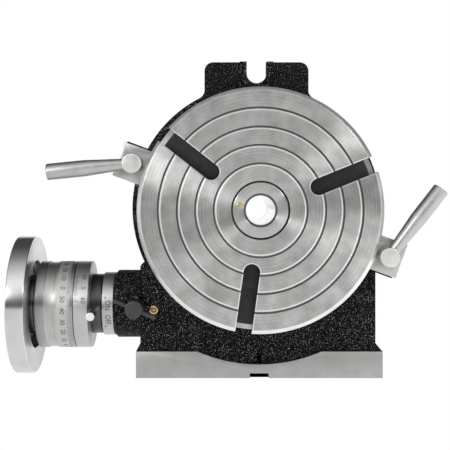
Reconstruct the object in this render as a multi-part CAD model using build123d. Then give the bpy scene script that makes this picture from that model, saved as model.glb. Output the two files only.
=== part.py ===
from build123d import *
import math
import os

# Horizontal vertical rotary table, 150 mm class.
# Millimetres. The origin is where the table's axis meets its working face.
# X points right, Y points into the depth behind the face, Z points up.
# The part stands on its foot for vertical work and lies on its back for horizontal work.

# Running and fitting clearances
RUNNING_CLEARANCE = 0.03
LOOSE_CLEARANCE = 0.3
FACE_GAP = 0.3

# Whole body
CENTRE_HEIGHT = 105.5
BODY_DEPTH = 87.0
FOOT_WIDTH = 154.6
FOOT_THICKNESS = 16.6
TOE_FRONT = 22.5
TOE_RELIEF_RADIUS = 97.0
DRUM_FRONT = 25.0
HOUSING_FRONT = 27.5
HOUSING_LEFT = -75.0
HOUSING_RIGHT = 73.5
HOUSING_TOP = -33.0
FOOT_FLARE_HEIGHT = 4.6
DRUM_RADIUS = 74.0
REAR_FLANGE_RADIUS = 84.8
REAR_FLANGE_THICKNESS = 10.0
KEY_SLOT_WIDTH = 12.0
KEY_SLOT_DEPTH = 3.0
KEY_TAP_RADIUS = 2.1
KEY_TAP_DEPTH = 12.0
FOOT_KEY_TAPS = (29.0, 43.0)
BACK_KEY_TAP_HEIGHT = 58.0

# Hold-down lugs and slots
TOP_LUG_WIDTH = 71.0
TOP_LUG_HEIGHT = 99.7
TOP_LUG_THICKNESS = 11.0
TOP_LUG_CORNER = 6.0
TOP_LUG_ROOT_FILLET = 6.0
BOLT_SLOT_WIDTH = 13.4
BOLT_SLOT_END = 85.3
SLOT_RIM_WIDTH = 4.8
SLOT_RIM_HEIGHT = 1.0
FOOT_POCKET_WIDTH = 28.0
FOOT_POCKET_FRONT = 52.0
FOOT_POCKET_RISE = 6.9
END_SLOT_DEPTH = 73.0
END_SLOT_REACH = 15.0
END_POCKET_REACH = 20.0
END_POCKET_HEIGHT = 20.0
END_POCKET_WIDTH = 22.0

# Table
TABLE_RADIUS = 75.0
TABLE_THICKNESS = 24.0
TABLE_CHAMFER = 2.5
RIM_GROOVE_RADIUS = 71.0
RIM_GROOVE_FRONT = 11.4
RIM_GROOVE_BACK = 18.0
LOWER_RIM_RADIUS = 74.5
RING_GROOVE_RADII = (27.8, 39.0, 50.0, 61.5)
RING_GROOVE_WIDTH = 2.2
RING_GROOVE_DEPTH = 1.0
T_SLOT_ANGLES = (22.0, 142.0, 262.0)
T_SLOT_NECK_WIDTH = 10.0
T_SLOT_NECK_DEPTH = 8.0
T_SLOT_HEAD_WIDTH = 17.5
T_SLOT_DEPTH = 15.0
T_SLOT_END_CENTRE = 37.8
TABLE_RECESS_RADIUS = 17.9
TABLE_RECESS_DEPTH = 12.0
TABLE_HUB_RADIUS = 44.0
WHEEL_SEAT_RADIUS = 34.0
JOURNAL_RADIUS = 30.0
JOURNAL_BACK_GAP = 2.5
SEAT_OUTER_RADIUS = 70.0
TABLE_RIM_GAP = 1.0

# Worm gear
GEAR_MODULE = 1.2
WHEEL_TEETH = 90
WORM_PITCH_RADIUS = 7.25
WORM_LENGTH = 26.0
WHEEL_FACE_WIDTH = 12.0
WORM_DEPTH = 42.5
PRESSURE_ANGLE = 20.0
WHEEL_TOOTH_THINNING = 0.12
WORM_THREAD_THINNING = 0.16
WHEEL_SCREWS = 6
WHEEL_SCREW_CIRCLE = 39.0
WHEEL_SCREW_RADIUS = 2.5
WHEEL_SCREW_HEAD_RADIUS = 4.2
WHEEL_SCREW_HEAD_LENGTH = 5.0
WHEEL_SCREW_LENGTH = 34.0

# Centre sleeve with its taper, held at the back
SLEEVE_HEAD_RADIUS = 16.9
SLEEVE_HEAD_FRONT = 0.4
SLEEVE_HEAD_LENGTH = 9.6
SLEEVE_RADIUS = 13.0
SLEEVE_THREAD_RADIUS = 11.0
TAPER_MOUTH_RADIUS = 8.89
TAPER_LENGTH = 64.0
TAPER_PER_MM = 0.02498
MOUTH_CHAMFER = 1.5
BACK_RECESS_RADIUS = 42.0
BACK_RECESS_DEPTH = 10.0
BACK_COVER_THICKNESS = 6.5
COVER_SCREWS = 4
COVER_SCREW_CIRCLE = 36.0
COVER_SCREW_RADIUS = 2.0
COVER_SCREW_HEAD_RADIUS = 3.4
COVER_SCREW_HEAD_LENGTH = 2.4
COVER_SCREW_LENGTH = 14.0
RING_NUT_RADIUS = 17.0
RING_NUT_THICKNESS = 3.0
RING_NUT_NOTCHES = 4
RING_NUT_NOTCH = 4.0

# Worm boss and eccentric sleeve
ECCENTRICITY = 3.3
ECCENTRIC_RADIUS = 14.0
ECCENTRIC_RIGHT_END = 50.0
WORM_BORE_END = 52.0
WORM_PASSAGE_RADIUS = 8.8
WINDOW_HALF_LENGTH = 34.5
WINDOW_TILT = 17.0
WINDOW_FLOOR = 1.0
BOSS_RADIUS = 21.7
BOSS_LEFT = -92.2
BOSS_CHAMFER = 2.0
SWITCH_RING_RADIUS = 20.2
SWITCH_RING_LENGTH = 7.1
COLLAR_GAP = 0.6
COLLAR_LENGTH = 6.8
COLLAR_RADIUS = 19.1
LEVER_PIN_RADIUS = 2.6
LEVER_PIN_TIP = -9.0
LEVER_PIN_SETBACK = 2.5
LEVER_PIN_SEAT_DEPTH = 4.0
VERNIER_RADIUS = 27.6
VERNIER_LENGTH = 9.0
VERNIER_SEAT_RADIUS = 12.0
VERNIER_SCREW_RADIUS = 1.5
VERNIER_SCREW_LENGTH = 8.0

# Worm shaft and what it carries
SHAFT_JOURNAL_RADIUS = 6.5
SHAFT_SHOULDER = -56.0
SHAFT_BODY_RADIUS = 7.0
SHAFT_TAIL_RADIUS = 5.0
SHAFT_TAIL_END = 48.0
BUSH_LENGTH = 14.0
SHAFT_SEAT_RADIUS = 6.0
SHAFT_THREAD_RADIUS = 4.0
SHAFT_LEFT_END = -160.0
THRUST_WASHER_RADIUS = 11.0
THRUST_WASHER_THICKNESS = 2.0
LOCK_NUT_RADIUS = 10.0
LOCK_NUT_THICKNESS = 3.0
KEY_WIDTH = 3.0
KEY_HEIGHT = 3.0
DIAL_RADIUS = 27.6
DIAL_NECK_RADIUS = 27.0
DIAL_LEFT = -139.5
DIAL_FLANGE_LENGTH = 5.6
DIAL_NECK_LENGTH = 6.0
DIAL_WALL = 3.5
DIAL_HUB_RADIUS = 12.0
DIAL_HUB_FLANGE_RADIUS = 18.0
DIAL_HUB_FLANGE_LENGTH = 3.0
DIAL_WEB_LENGTH = 6.0
DIAL_SPRING_THICKNESS = 0.8
WHEEL_RIM_RADIUS = 43.9
WHEEL_LEFT = -154.3
WHEEL_RIM_WIDTH = 11.4
WHEEL_EDGE = 1.5
WHEEL_RECESS_RADIUS = 28.0
WHEEL_RECESS_DEPTH = 4.8
WHEEL_HUB_RADIUS = 18.6
WHEEL_HUB_GROOVE = 1.0
WHEEL_NUT_RECESS_RADIUS = 13.0
WHEEL_NUT_RECESS_DEPTH = 3.5
CRANK_HOLE_CIRCLE = 36.0
CRANK_HOLE_RADIUS = 3.4
CRANK_HOLE_DEPTH = 9.0
WHEEL_WASHER_RADIUS = 8.0
WHEEL_WASHER_THICKNESS = 1.6
WHEEL_NUT_FLATS = 13.0
WHEEL_NUT_THICKNESS = 5.0

# Table clamps
CLAMP_CIRCLE = 82.8
CLAMP_ANGLES = {"left": 160.0, "right": -20.0}
LEVER_ANGLES = {"left": 185.7, "right": 52.2}
CLAMP_PLATE_WIDTH = 22.0
CLAMP_PLATE_OUTER = 92.7
CLAMP_PLATE_THICKNESS = 6.0
CLAMP_PLATE_FLOAT = 0.3
CLAMP_HEAD_RADIUS = 5.9
CLAMP_HEAD_FRONT = -3.0
CLAMP_BOLT_RADIUS = 4.0
CLAMP_BOLT_REACH = 20.0
CLAMP_LUG_OUTER = 91.7
CLAMP_LUG_WIDE_SIDE = 12.0
CLAMP_LUG_NARROW_SIDE = 10.0
CLAMP_LUG_LENGTH = 26.0
LEVER_LENGTH = 52.0
LEVER_RADIUS = 5.0
LEVER_NECK_RADIUS = 3.5
LEVER_TAPER_LENGTH = 23.0
LEVER_DEPTH = 4.0

# Sleeve lock screw, tommy bar and oilers
LOCK_X = -77.6
LOCK_HEAD_RADIUS = 5.6
LOCK_HEAD_FRONT = 9.0
LOCK_HEAD_LENGTH = 12.5
LOCK_SHANK_RADIUS = 4.0
TOMMY_LENGTH = 28.0
TOMMY_RADIUS = 1.3
TOMMY_TIP_RADIUS = 1.7
TOMMY_TIP_LENGTH = 2.0
TOMMY_ANGLE = -23.0
TOMMY_SETBACK = 5.0
OILER_X = -66.5
OILER_Z = -63.3
FRONT_OILER = {"rim": 2.9, "cup": 2.5, "mouth": 1.6, "ball": 1.5, "length": 4.6, "proud": 1.1}
CENTRE_OILER = {"rim": 2.0, "cup": 1.7, "mouth": 1.2, "ball": 1.1, "length": 5.0, "proud": 0.3}
OILER_LIP = 0.4
OILER_LIP_OVERLAP = 0.3
CENTRE_OILER_CIRCLE = 12.9
CENTRE_OILER_ANGLE = 166.5

# Index plate for the degree scale
INDEX_ANGLE = 125.0
INDEX_LENGTH = 22.0
INDEX_WIDTH = 8.0
INDEX_THICKNESS = 1.2
INDEX_PIN_RADIUS = 0.9
INDEX_PIN_SPACING = 15.0

# Worked-out places
FOOT_BOTTOM = -CENTRE_HEIGHT
FOOT_TOP = FOOT_BOTTOM + FOOT_THICKNESS
FOOT_POCKET_TOP = FOOT_TOP + FOOT_POCKET_RISE
FLANGE_FRONT = BODY_DEPTH - REAR_FLANGE_THICKNESS
WHEEL_PITCH_RADIUS = GEAR_MODULE * WHEEL_TEETH / 2
WHEEL_TIP_RADIUS = WHEEL_PITCH_RADIUS + GEAR_MODULE
WHEEL_ROOT_RADIUS = WHEEL_PITCH_RADIUS - 1.25 * GEAR_MODULE
WORM_TIP_RADIUS = WORM_PITCH_RADIUS + GEAR_MODULE
WORM_ROOT_RADIUS = WORM_PITCH_RADIUS - 1.25 * GEAR_MODULE
WORM_HEIGHT = -(WHEEL_PITCH_RADIUS + WORM_PITCH_RADIUS)
THREAD_PITCH = math.pi * GEAR_MODULE
LEAD_SLOPE = THREAD_PITCH / (2 * math.pi * WORM_PITCH_RADIUS)
CAVITY_RADIUS = WHEEL_TIP_RADIUS + 2.5
WHEEL_FRONT = WORM_DEPTH - WHEEL_FACE_WIDTH / 2
WHEEL_BACK = WORM_DEPTH + WHEEL_FACE_WIDTH / 2
CAVITY_BACK = WHEEL_BACK + 3.0
SLEEVE_AXIS_DEPTH = WORM_DEPTH + ECCENTRICITY
WINDOW_REACH = ECCENTRIC_RADIUS * 3
COVER_FRONT = BODY_DEPTH - BACK_RECESS_DEPTH
COVER_BACK = COVER_FRONT + BACK_COVER_THICKNESS
JOURNAL_END = COVER_FRONT - JOURNAL_BACK_GAP
SLEEVE_HEAD_BACK = SLEEVE_HEAD_FRONT + SLEEVE_HEAD_LENGTH
SLEEVE_END = COVER_BACK + RING_NUT_THICKNESS
TAPER_END_RADIUS = TAPER_MOUTH_RADIUS - TAPER_PER_MM * TAPER_LENGTH
SWITCH_RING_LEFT = BOSS_LEFT - SWITCH_RING_LENGTH
COLLAR_RIGHT = SWITCH_RING_LEFT - COLLAR_GAP
COLLAR_LEFT = COLLAR_RIGHT - COLLAR_LENGTH
VERNIER_LEFT = COLLAR_LEFT - VERNIER_LENGTH
LEVER_PIN_X = COLLAR_RIGHT - LEVER_PIN_SETBACK
WASHER_LEFT = VERNIER_LEFT - THRUST_WASHER_THICKNESS
NUTS_LEFT = WASHER_LEFT - 2 * LOCK_NUT_THICKNESS
DIAL_RIGHT = VERNIER_LEFT - FACE_GAP
DIAL_WEB_RIGHT = DIAL_LEFT + DIAL_WEB_LENGTH
HUB_FLANGE_LEFT = DIAL_WEB_RIGHT + DIAL_SPRING_THICKNESS
WHEEL_RIGHT = WHEEL_LEFT + WHEEL_RIM_WIDTH
HUB_RIGHT = DIAL_LEFT - FACE_GAP
NUT_SEAT = WHEEL_LEFT + WHEEL_NUT_RECESS_DEPTH
PLATE_BACK = RIM_GROOVE_BACK - CLAMP_PLATE_FLOAT
PLATE_FRONT = PLATE_BACK - CLAMP_PLATE_THICKNESS
PLATE_INNER = RIM_GROOVE_RADIUS + CLAMP_PLATE_FLOAT
LUG_FRONT = RIM_GROOVE_BACK + CLAMP_PLATE_FLOAT
INDEX_FRONT = DRUM_FRONT + 2.0


def rod_y(radius, front, back, x=0.0, z=0.0):
    """A round solid along Y from front to back."""
    return Pos(x, (front + back) / 2, z) * Rot(90, 0, 0) * Cylinder(radius, back - front)


def rod_x(radius, left, right, y=WORM_DEPTH, z=WORM_HEIGHT):
    """A round solid along X from left to right, on the worm's axis unless told otherwise."""
    return Pos((left + right) / 2, y, z) * Rot(0, 90, 0) * Cylinder(radius, right - left)


def block(left, right, front, back, bottom, top):
    """A rectangular solid between two corners."""
    centre = Pos((left + right) / 2, (front + back) / 2, (bottom + top) / 2)
    return centre * Box(right - left, back - front, top - bottom)


def slab(outline, front, back):
    """An outline drawn in X and Z, given depth from front to back."""
    return Pos(0, back, 0) * extrude(Plane.XZ * outline, amount=back - front)


def turned_y(points):
    """A solid turned about the table's axis from points of radius and depth."""
    return revolve(make_face(Polyline(*points, close=True)), axis=Axis.Y)


def turned_x(points):
    """A solid turned about the worm's axis from points of place along X and radius."""
    solid = revolve(make_face(Polyline(*points, close=True)), axis=Axis.X)
    return Pos(0, WORM_DEPTH, WORM_HEIGHT) * solid


def around_table(angle, distance):
    """X and Z of a point at an angle and a distance from the table's axis."""
    turn = math.radians(angle)
    return distance * math.cos(turn), distance * math.sin(turn)


# The casting

def bolt_slot(widening=0.0):
    """The outline of an open bolt slot that runs up from its round end."""
    radius = BOLT_SLOT_WIDTH / 2 + widening
    centre = BOLT_SLOT_END + BOLT_SLOT_WIDTH / 2
    height = TOP_LUG_HEIGHT + 2 * TOP_LUG_CORNER - centre
    straight = Pos(0, centre + height / 2) * Rectangle(2 * radius, height)
    return straight + Pos(0, centre) * Circle(radius)


def lug_outline():
    """The rear flange's disc with the top lug grown out of it, with filleted roots."""
    height = TOP_LUG_HEIGHT
    lug = Pos(0, height / 2) * Rectangle(TOP_LUG_WIDTH, height)
    lug = fillet(lug.vertices().group_by(Axis.Y)[-1], TOP_LUG_CORNER)
    outline = Circle(REAR_FLANGE_RADIUS) + lug
    root_height = math.sqrt(REAR_FLANGE_RADIUS**2 - (TOP_LUG_WIDTH / 2) ** 2)
    roots = [v for v in outline.vertices() if abs(v.Y - root_height) < 0.01 and abs(v.X) > 1]
    return fillet(roots, TOP_LUG_ROOT_FILLET)


def housing_outline():
    """The lower housing seen from the front, with rounded shoulders."""
    width = HOUSING_RIGHT - HOUSING_LEFT
    height = HOUSING_TOP - FOOT_BOTTOM
    centre = Pos((HOUSING_LEFT + HOUSING_RIGHT) / 2, (HOUSING_TOP + FOOT_BOTTOM) / 2)
    outline = centre * Rectangle(width, height)
    return fillet(outline.vertices().group_by(Axis.Y)[-1], 4.0)


def foot_outline():
    """The foot seen from the front, with the flare that runs up into the housing."""
    half = FOOT_WIDTH / 2
    flare_top = FOOT_TOP + FOOT_FLARE_HEIGHT
    points = [
        (-half, FOOT_BOTTOM),
        (half, FOOT_BOTTOM),
        (half, FOOT_TOP),
        (HOUSING_RIGHT, flare_top),
        (HOUSING_LEFT, flare_top),
        (-half, FOOT_TOP),
    ]
    return make_face(Polyline(*points, close=True))


def clamp_lug(side):
    """A lug beside the drum that carries one clamp's bolt."""
    reach = CLAMP_LUG_OUTER - DRUM_RADIUS / 2
    wide = CLAMP_LUG_WIDE_SIDE
    narrow = CLAMP_LUG_NARROW_SIDE
    middle = (CLAMP_LUG_OUTER + DRUM_RADIUS / 2) / 2
    outline = Pos(middle, (narrow - wide) / 2) * Rectangle(reach, wide + narrow)
    outline = Rot(0, 0, CLAMP_ANGLES[side]) * outline
    lug = slab(outline, LUG_FRONT, LUG_FRONT + CLAMP_LUG_LENGTH)
    return lug - rod_y(TABLE_RADIUS + TABLE_RIM_GAP, 0, DRUM_FRONT)


def end_slot(direction):
    """An open bolt slot at one end of the foot, with the pocket for its nut above it."""
    end = direction * FOOT_WIDTH / 2
    centre = end - direction * END_SLOT_REACH
    outside = end + direction * 5.0
    half = BOLT_SLOT_WIDTH / 2
    low, high = sorted((centre, outside))
    slot = block(low, high, END_SLOT_DEPTH - half, END_SLOT_DEPTH + half, FOOT_BOTTOM - 1, FOOT_TOP + 1)
    slot += Pos(centre, END_SLOT_DEPTH, FOOT_BOTTOM + FOOT_THICKNESS / 2) * Cylinder(half, FOOT_THICKNESS + 2)
    low, high = sorted((end - direction * END_POCKET_REACH, outside))
    pocket_front = END_SLOT_DEPTH - END_POCKET_WIDTH / 2
    pocket_back = END_SLOT_DEPTH + END_POCKET_WIDTH / 2
    slot += block(low, high, pocket_front, pocket_back, FOOT_TOP, FOOT_TOP + END_POCKET_HEIGHT)
    return slot


def make_body_casting():
    """One iron casting: drum, rear flange, housing, foot, worm boss and lugs."""
    body = rod_y(DRUM_RADIUS, DRUM_FRONT, BODY_DEPTH) - index_pins(0.0)
    body += slab(lug_outline(), FLANGE_FRONT, BODY_DEPTH)
    body += slab(housing_outline(), HOUSING_FRONT, BODY_DEPTH)
    lug_top = TOP_LUG_HEIGHT
    half_lug = TOP_LUG_WIDTH / 2
    face = Pos(0, (lug_top + DRUM_RADIUS) / 2) * Rectangle(2 * half_lug, lug_top - DRUM_RADIUS)
    face = fillet(face.vertices().group_by(Axis.Y)[-1], TOP_LUG_CORNER)
    body += slab(face, BODY_DEPTH - TOP_LUG_THICKNESS, BODY_DEPTH)
    rim = bolt_slot(SLOT_RIM_WIDTH) & Pos(0, lug_top / 2) * Rectangle(2 * half_lug, lug_top + 0.8)
    rim_front = BODY_DEPTH - TOP_LUG_THICKNESS - SLOT_RIM_HEIGHT
    body += slab(rim, rim_front, BODY_DEPTH)
    foot = slab(foot_outline(), TOE_FRONT, BODY_DEPTH)
    relief_floor = FOOT_TOP + FOOT_FLARE_HEIGHT + 1
    foot -= block(-FOOT_WIDTH, FOOT_WIDTH, TOE_FRONT - 1, HOUSING_FRONT, FOOT_TOP, relief_floor)
    foot -= rod_y(TOE_RELIEF_RADIUS, TOE_FRONT - 1, HOUSING_FRONT)
    body += foot
    for side in CLAMP_ANGLES:
        body += clamp_lug(side)
    boss = rod_x(BOSS_RADIUS, BOSS_LEFT, HOUSING_LEFT, y=SLEEVE_AXIS_DEPTH)
    body += chamfer(boss.edges().group_by(Axis.X)[0], BOSS_CHAMFER)
    body += rod_y(SEAT_OUTER_RADIUS, TABLE_THICKNESS, DRUM_FRONT + 1)

    body -= rod_y(CAVITY_RADIUS, 0, CAVITY_BACK)
    body -= rod_y(JOURNAL_RADIUS + RUNNING_CLEARANCE, CAVITY_BACK - 1, BODY_DEPTH)
    body -= rod_y(BACK_RECESS_RADIUS, COVER_FRONT, BODY_DEPTH + 1)
    bore_radius = ECCENTRIC_RADIUS + RUNNING_CLEARANCE
    body -= rod_x(bore_radius, BOSS_LEFT - 1, WORM_BORE_END, y=SLEEVE_AXIS_DEPTH)
    body -= slab(bolt_slot(), rim_front - 1, BODY_DEPTH + 1)
    lower_slot = Rot(0, 0, 180) * bolt_slot()
    lower_slot = Pos(0, TOP_LUG_HEIGHT - CENTRE_HEIGHT) * lower_slot
    body -= slab(lower_slot, FOOT_POCKET_FRONT + 1, BODY_DEPTH + 1)
    half_pocket = FOOT_POCKET_WIDTH / 2
    pocket_back = BODY_DEPTH - TOP_LUG_THICKNESS
    body -= block(
        -half_pocket, half_pocket, FOOT_POCKET_FRONT, pocket_back, FOOT_BOTTOM - 1, FOOT_POCKET_TOP
    )
    for direction in (-1, 1):
        body -= end_slot(direction)
    half_key = KEY_SLOT_WIDTH / 2
    body -= block(
        -half_key, half_key, TOE_FRONT - 1, BODY_DEPTH + 1, FOOT_BOTTOM - 1, FOOT_BOTTOM + KEY_SLOT_DEPTH
    )
    key_front = BODY_DEPTH - KEY_SLOT_DEPTH
    body -= block(-half_key, half_key, key_front, BODY_DEPTH + 1, FOOT_BOTTOM - 1, BOLT_SLOT_END + 2)
    for depth in FOOT_KEY_TAPS:
        tap_height = KEY_TAP_DEPTH + KEY_SLOT_DEPTH
        body -= Pos(0, depth, FOOT_BOTTOM + tap_height / 2) * Cylinder(KEY_TAP_RADIUS, tap_height)
    for height in (-BACK_KEY_TAP_HEIGHT, BACK_KEY_TAP_HEIGHT):
        body -= rod_y(KEY_TAP_RADIUS, key_front - KEY_TAP_DEPTH, key_front + 1, z=height)
    for side, angle in CLAMP_ANGLES.items():
        x, z = around_table(angle, CLAMP_CIRCLE)
        body -= rod_y(CLAMP_BOLT_RADIUS + RUNNING_CLEARANCE, LUG_FRONT - 1, LUG_FRONT + CLAMP_BOLT_REACH, x, z)
    body -= rod_y(LOCK_SHANK_RADIUS + RUNNING_CLEARANCE, TOE_FRONT, SLEEVE_AXIS_DEPTH, LOCK_X, WORM_HEIGHT)
    cup_back = HOUSING_FRONT - FRONT_OILER["proud"] + FRONT_OILER["length"]
    body -= rod_y(FRONT_OILER["cup"], HOUSING_FRONT - 1, cup_back, OILER_X, OILER_Z)
    body -= rod_y(FRONT_OILER["mouth"], cup_back - 1, SLEEVE_AXIS_DEPTH, OILER_X, OILER_Z)
    for turn in range(COVER_SCREWS):
        x, z = around_table(45 + turn * 360 / COVER_SCREWS, COVER_SCREW_CIRCLE)
        hole_end = COVER_BACK - COVER_SCREW_LENGTH - 2
        body -= rod_y(COVER_SCREW_RADIUS, hole_end, COVER_FRONT + 1, x, z)
    return body


# The table and its worm wheel

def ring_groove(radius):
    """A round-bottomed groove in the table's face."""
    half = RING_GROOVE_WIDTH / 2
    bottom = RING_GROOVE_DEPTH
    arc = ThreePointArc((radius - half, 0), (radius, bottom), (radius + half, 0))
    cap = Polyline((radius + half, 0), (radius + half, -1), (radius - half, -1), (radius - half, 0))
    return revolve(make_face(arc + cap), axis=Axis.Y)


def t_slot(angle):
    """One T-slot: a narrow neck over a wide head, with round inner ends, open at the rim."""
    slot = Part()
    levels = (
        (T_SLOT_NECK_WIDTH, -1.0, T_SLOT_DEPTH),
        (T_SLOT_HEAD_WIDTH, T_SLOT_NECK_DEPTH, T_SLOT_DEPTH),
    )
    for width, front, back in levels:
        length = TABLE_RADIUS + 5 - T_SLOT_END_CENTRE
        outline = Pos(T_SLOT_END_CENTRE + length / 2, 0) * Rectangle(length, width)
        outline += Pos(T_SLOT_END_CENTRE, 0) * Circle(width / 2)
        slot += slab(Rot(0, 0, angle) * outline, front, back)
    return slot


def wheel_screw_places():
    """X and Z of each screw that holds the worm wheel and the hub to the table."""
    for turn in range(WHEEL_SCREWS):
        yield around_table(turn * 360 / WHEEL_SCREWS, WHEEL_SCREW_CIRCLE)


def cut_wheel_screw_holes(solid):
    """The tapped holes of the wheel's screws, as deep as they reach into the table."""
    for x, z in wheel_screw_places():
        hole_front = WHEEL_BACK - WHEEL_SCREW_LENGTH - 3
        solid -= rod_y(WHEEL_SCREW_RADIUS, hole_front, WHEEL_FRONT + 1, x, z)
    return solid


def make_table():
    """The turned table with its ring grooves and T-slots."""
    points = [
        (TABLE_RECESS_RADIUS, 0),
        (TABLE_RADIUS - TABLE_CHAMFER, 0),
        (TABLE_RADIUS, TABLE_CHAMFER),
        (TABLE_RADIUS, RIM_GROOVE_FRONT),
        (RIM_GROOVE_RADIUS, RIM_GROOVE_FRONT),
        (RIM_GROOVE_RADIUS, RIM_GROOVE_BACK),
        (LOWER_RIM_RADIUS, RIM_GROOVE_BACK),
        (LOWER_RIM_RADIUS, TABLE_THICKNESS),
        (SLEEVE_RADIUS + LOOSE_CLEARANCE, TABLE_THICKNESS),
        (SLEEVE_RADIUS + LOOSE_CLEARANCE, TABLE_RECESS_DEPTH),
        (TABLE_RECESS_RADIUS, TABLE_RECESS_DEPTH),
    ]
    table = turned_y(points)
    for radius in RING_GROOVE_RADII:
        table -= ring_groove(radius)
    for angle in T_SLOT_ANGLES:
        table -= t_slot(angle)
    return cut_wheel_screw_holes(table)


def make_table_hub():
    """The hub on the table's back, with the worm wheel's seat and the journal that it turns on."""
    points = [
        (SLEEVE_RADIUS + LOOSE_CLEARANCE, TABLE_THICKNESS),
        (TABLE_HUB_RADIUS, TABLE_THICKNESS),
        (TABLE_HUB_RADIUS, WHEEL_FRONT),
        (WHEEL_SEAT_RADIUS, WHEEL_FRONT),
        (WHEEL_SEAT_RADIUS, WHEEL_BACK - 1),
        (JOURNAL_RADIUS, WHEEL_BACK - 1),
        (JOURNAL_RADIUS, JOURNAL_END),
        (SLEEVE_RADIUS + LOOSE_CLEARANCE, JOURNAL_END),
    ]
    return cut_wheel_screw_holes(turned_y(points))


def make_worm_wheel():
    """A bronze wheel with teeth cut on the worm's lead, seated on the table's hub."""
    pitch_angle = 2 * math.pi / WHEEL_TEETH
    flank = math.tan(math.radians(PRESSURE_ANGLE))
    half_pitch_width = THREAD_PITCH / 4 - WHEEL_TOOTH_THINNING
    half_tip = half_pitch_width - flank * (WHEEL_TIP_RADIUS - WHEEL_PITCH_RADIUS)
    half_root = half_pitch_width + flank * (WHEEL_PITCH_RADIUS - WHEEL_ROOT_RADIUS)
    points = []
    for tooth in range(WHEEL_TEETH):
        middle = -math.pi / 2 + (tooth + 0.5) * pitch_angle
        corners = (
            (WHEEL_ROOT_RADIUS, -half_root),
            (WHEEL_TIP_RADIUS, -half_tip),
            (WHEEL_TIP_RADIUS, half_tip),
            (WHEEL_ROOT_RADIUS, half_root),
        )
        for radius, offset in corners:
            angle = middle + offset / radius
            points.append((radius * math.cos(angle), radius * math.sin(angle)))
    outline = make_face(Polyline(*points, close=True))
    half_twist = math.degrees(LEAD_SLOPE * WHEEL_FACE_WIDTH / 2 / WHEEL_PITCH_RADIUS)
    front = Pos(0, WHEEL_FRONT, 0) * Rot(0, -half_twist, 0) * (Plane.XZ * outline)
    back = Pos(0, WHEEL_BACK, 0) * Rot(0, half_twist, 0) * (Plane.XZ * outline)
    wheel = loft([front, back], ruled=True)
    wheel -= rod_y(WHEEL_SEAT_RADIUS, WHEEL_FRONT - 1, WHEEL_BACK + 1)
    for x, z in wheel_screw_places():
        wheel -= rod_y(WHEEL_SCREW_RADIUS, WHEEL_FRONT - 1, WHEEL_BACK + 1, x, z)
        wheel -= rod_y(
            WHEEL_SCREW_HEAD_RADIUS, WHEEL_BACK - WHEEL_SCREW_HEAD_LENGTH - 0.5, WHEEL_BACK + 1, x, z
        )
    return wheel


def socket_screw(radius, head_radius, head_length, length, head_back, x, z, key_width):
    """A cap screw along Y, its head towards the back with a hexagon socket."""
    screw = rod_y(head_radius, head_back - head_length, head_back, x, z)
    screw += rod_y(radius, head_back - length, head_back - head_length, x, z)
    socket = RegularPolygon(key_width / 2, 6, major_radius=False)
    return screw - slab(Pos(x, z) * socket, head_back - head_length / 2, head_back + 1)


def make_wheel_screws():
    """The cap screws of the worm wheel."""
    screws = Part()
    for x, z in wheel_screw_places():
        screws += socket_screw(
            WHEEL_SCREW_RADIUS,
            WHEEL_SCREW_HEAD_RADIUS,
            WHEEL_SCREW_HEAD_LENGTH,
            WHEEL_SCREW_LENGTH,
            WHEEL_BACK - 0.5,
            x,
            z,
            4.0,
        )
    return screws


# The centre sleeve and its holders

def make_centre_sleeve():
    """The fixed sleeve in the table's middle, bored to a taper, with a head and a threaded tail."""
    points = [
        (SLEEVE_HEAD_RADIUS - 0.5, SLEEVE_HEAD_FRONT),
        (SLEEVE_HEAD_RADIUS, SLEEVE_HEAD_FRONT + 0.5),
        (SLEEVE_HEAD_RADIUS, SLEEVE_HEAD_BACK),
        (SLEEVE_RADIUS, SLEEVE_HEAD_BACK),
        (SLEEVE_RADIUS, COVER_FRONT),
        (SLEEVE_THREAD_RADIUS, COVER_FRONT),
        (SLEEVE_THREAD_RADIUS, SLEEVE_END),
        (TAPER_END_RADIUS, SLEEVE_END),
        (TAPER_END_RADIUS, SLEEVE_HEAD_FRONT + TAPER_LENGTH),
        (TAPER_MOUTH_RADIUS, SLEEVE_HEAD_FRONT + MOUTH_CHAMFER),
        (TAPER_MOUTH_RADIUS + MOUTH_CHAMFER, SLEEVE_HEAD_FRONT),
    ]
    sleeve = turned_y(points)
    x, z = around_table(CENTRE_OILER_ANGLE, CENTRE_OILER_CIRCLE)
    cup_back = SLEEVE_HEAD_FRONT + CENTRE_OILER["length"] - CENTRE_OILER["proud"]
    sleeve -= rod_y(CENTRE_OILER["cup"], SLEEVE_HEAD_FRONT - 1, cup_back, x, z)
    sleeve -= rod_y(CENTRE_OILER["ball"] / 2, cup_back - 1, SLEEVE_HEAD_BACK + 0.5, x, z)
    return sleeve


def make_thrust_washer():
    """A bronze washer between the sleeve's head and the table's shoulder."""
    washer = rod_y(SLEEVE_HEAD_RADIUS, SLEEVE_HEAD_BACK, TABLE_RECESS_DEPTH)
    return washer - rod_y(SLEEVE_RADIUS + RUNNING_CLEARANCE, SLEEVE_HEAD_BACK - 1, TABLE_RECESS_DEPTH + 1)


def cover_screw_places():
    """X and Z of each screw that holds the back cover."""
    for turn in range(COVER_SCREWS):
        yield around_table(45 + turn * 360 / COVER_SCREWS, COVER_SCREW_CIRCLE)


def make_back_cover():
    """A plate in the back recess that closes the bearing and holds the centre sleeve."""
    cover = rod_y(BACK_RECESS_RADIUS - LOOSE_CLEARANCE, COVER_FRONT, COVER_BACK)
    cover -= rod_y(SLEEVE_THREAD_RADIUS, COVER_FRONT - 1, COVER_BACK + 1)
    for x, z in cover_screw_places():
        cover -= rod_y(COVER_SCREW_RADIUS, COVER_FRONT - 1, COVER_BACK + 1, x, z)
    return cover


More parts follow.
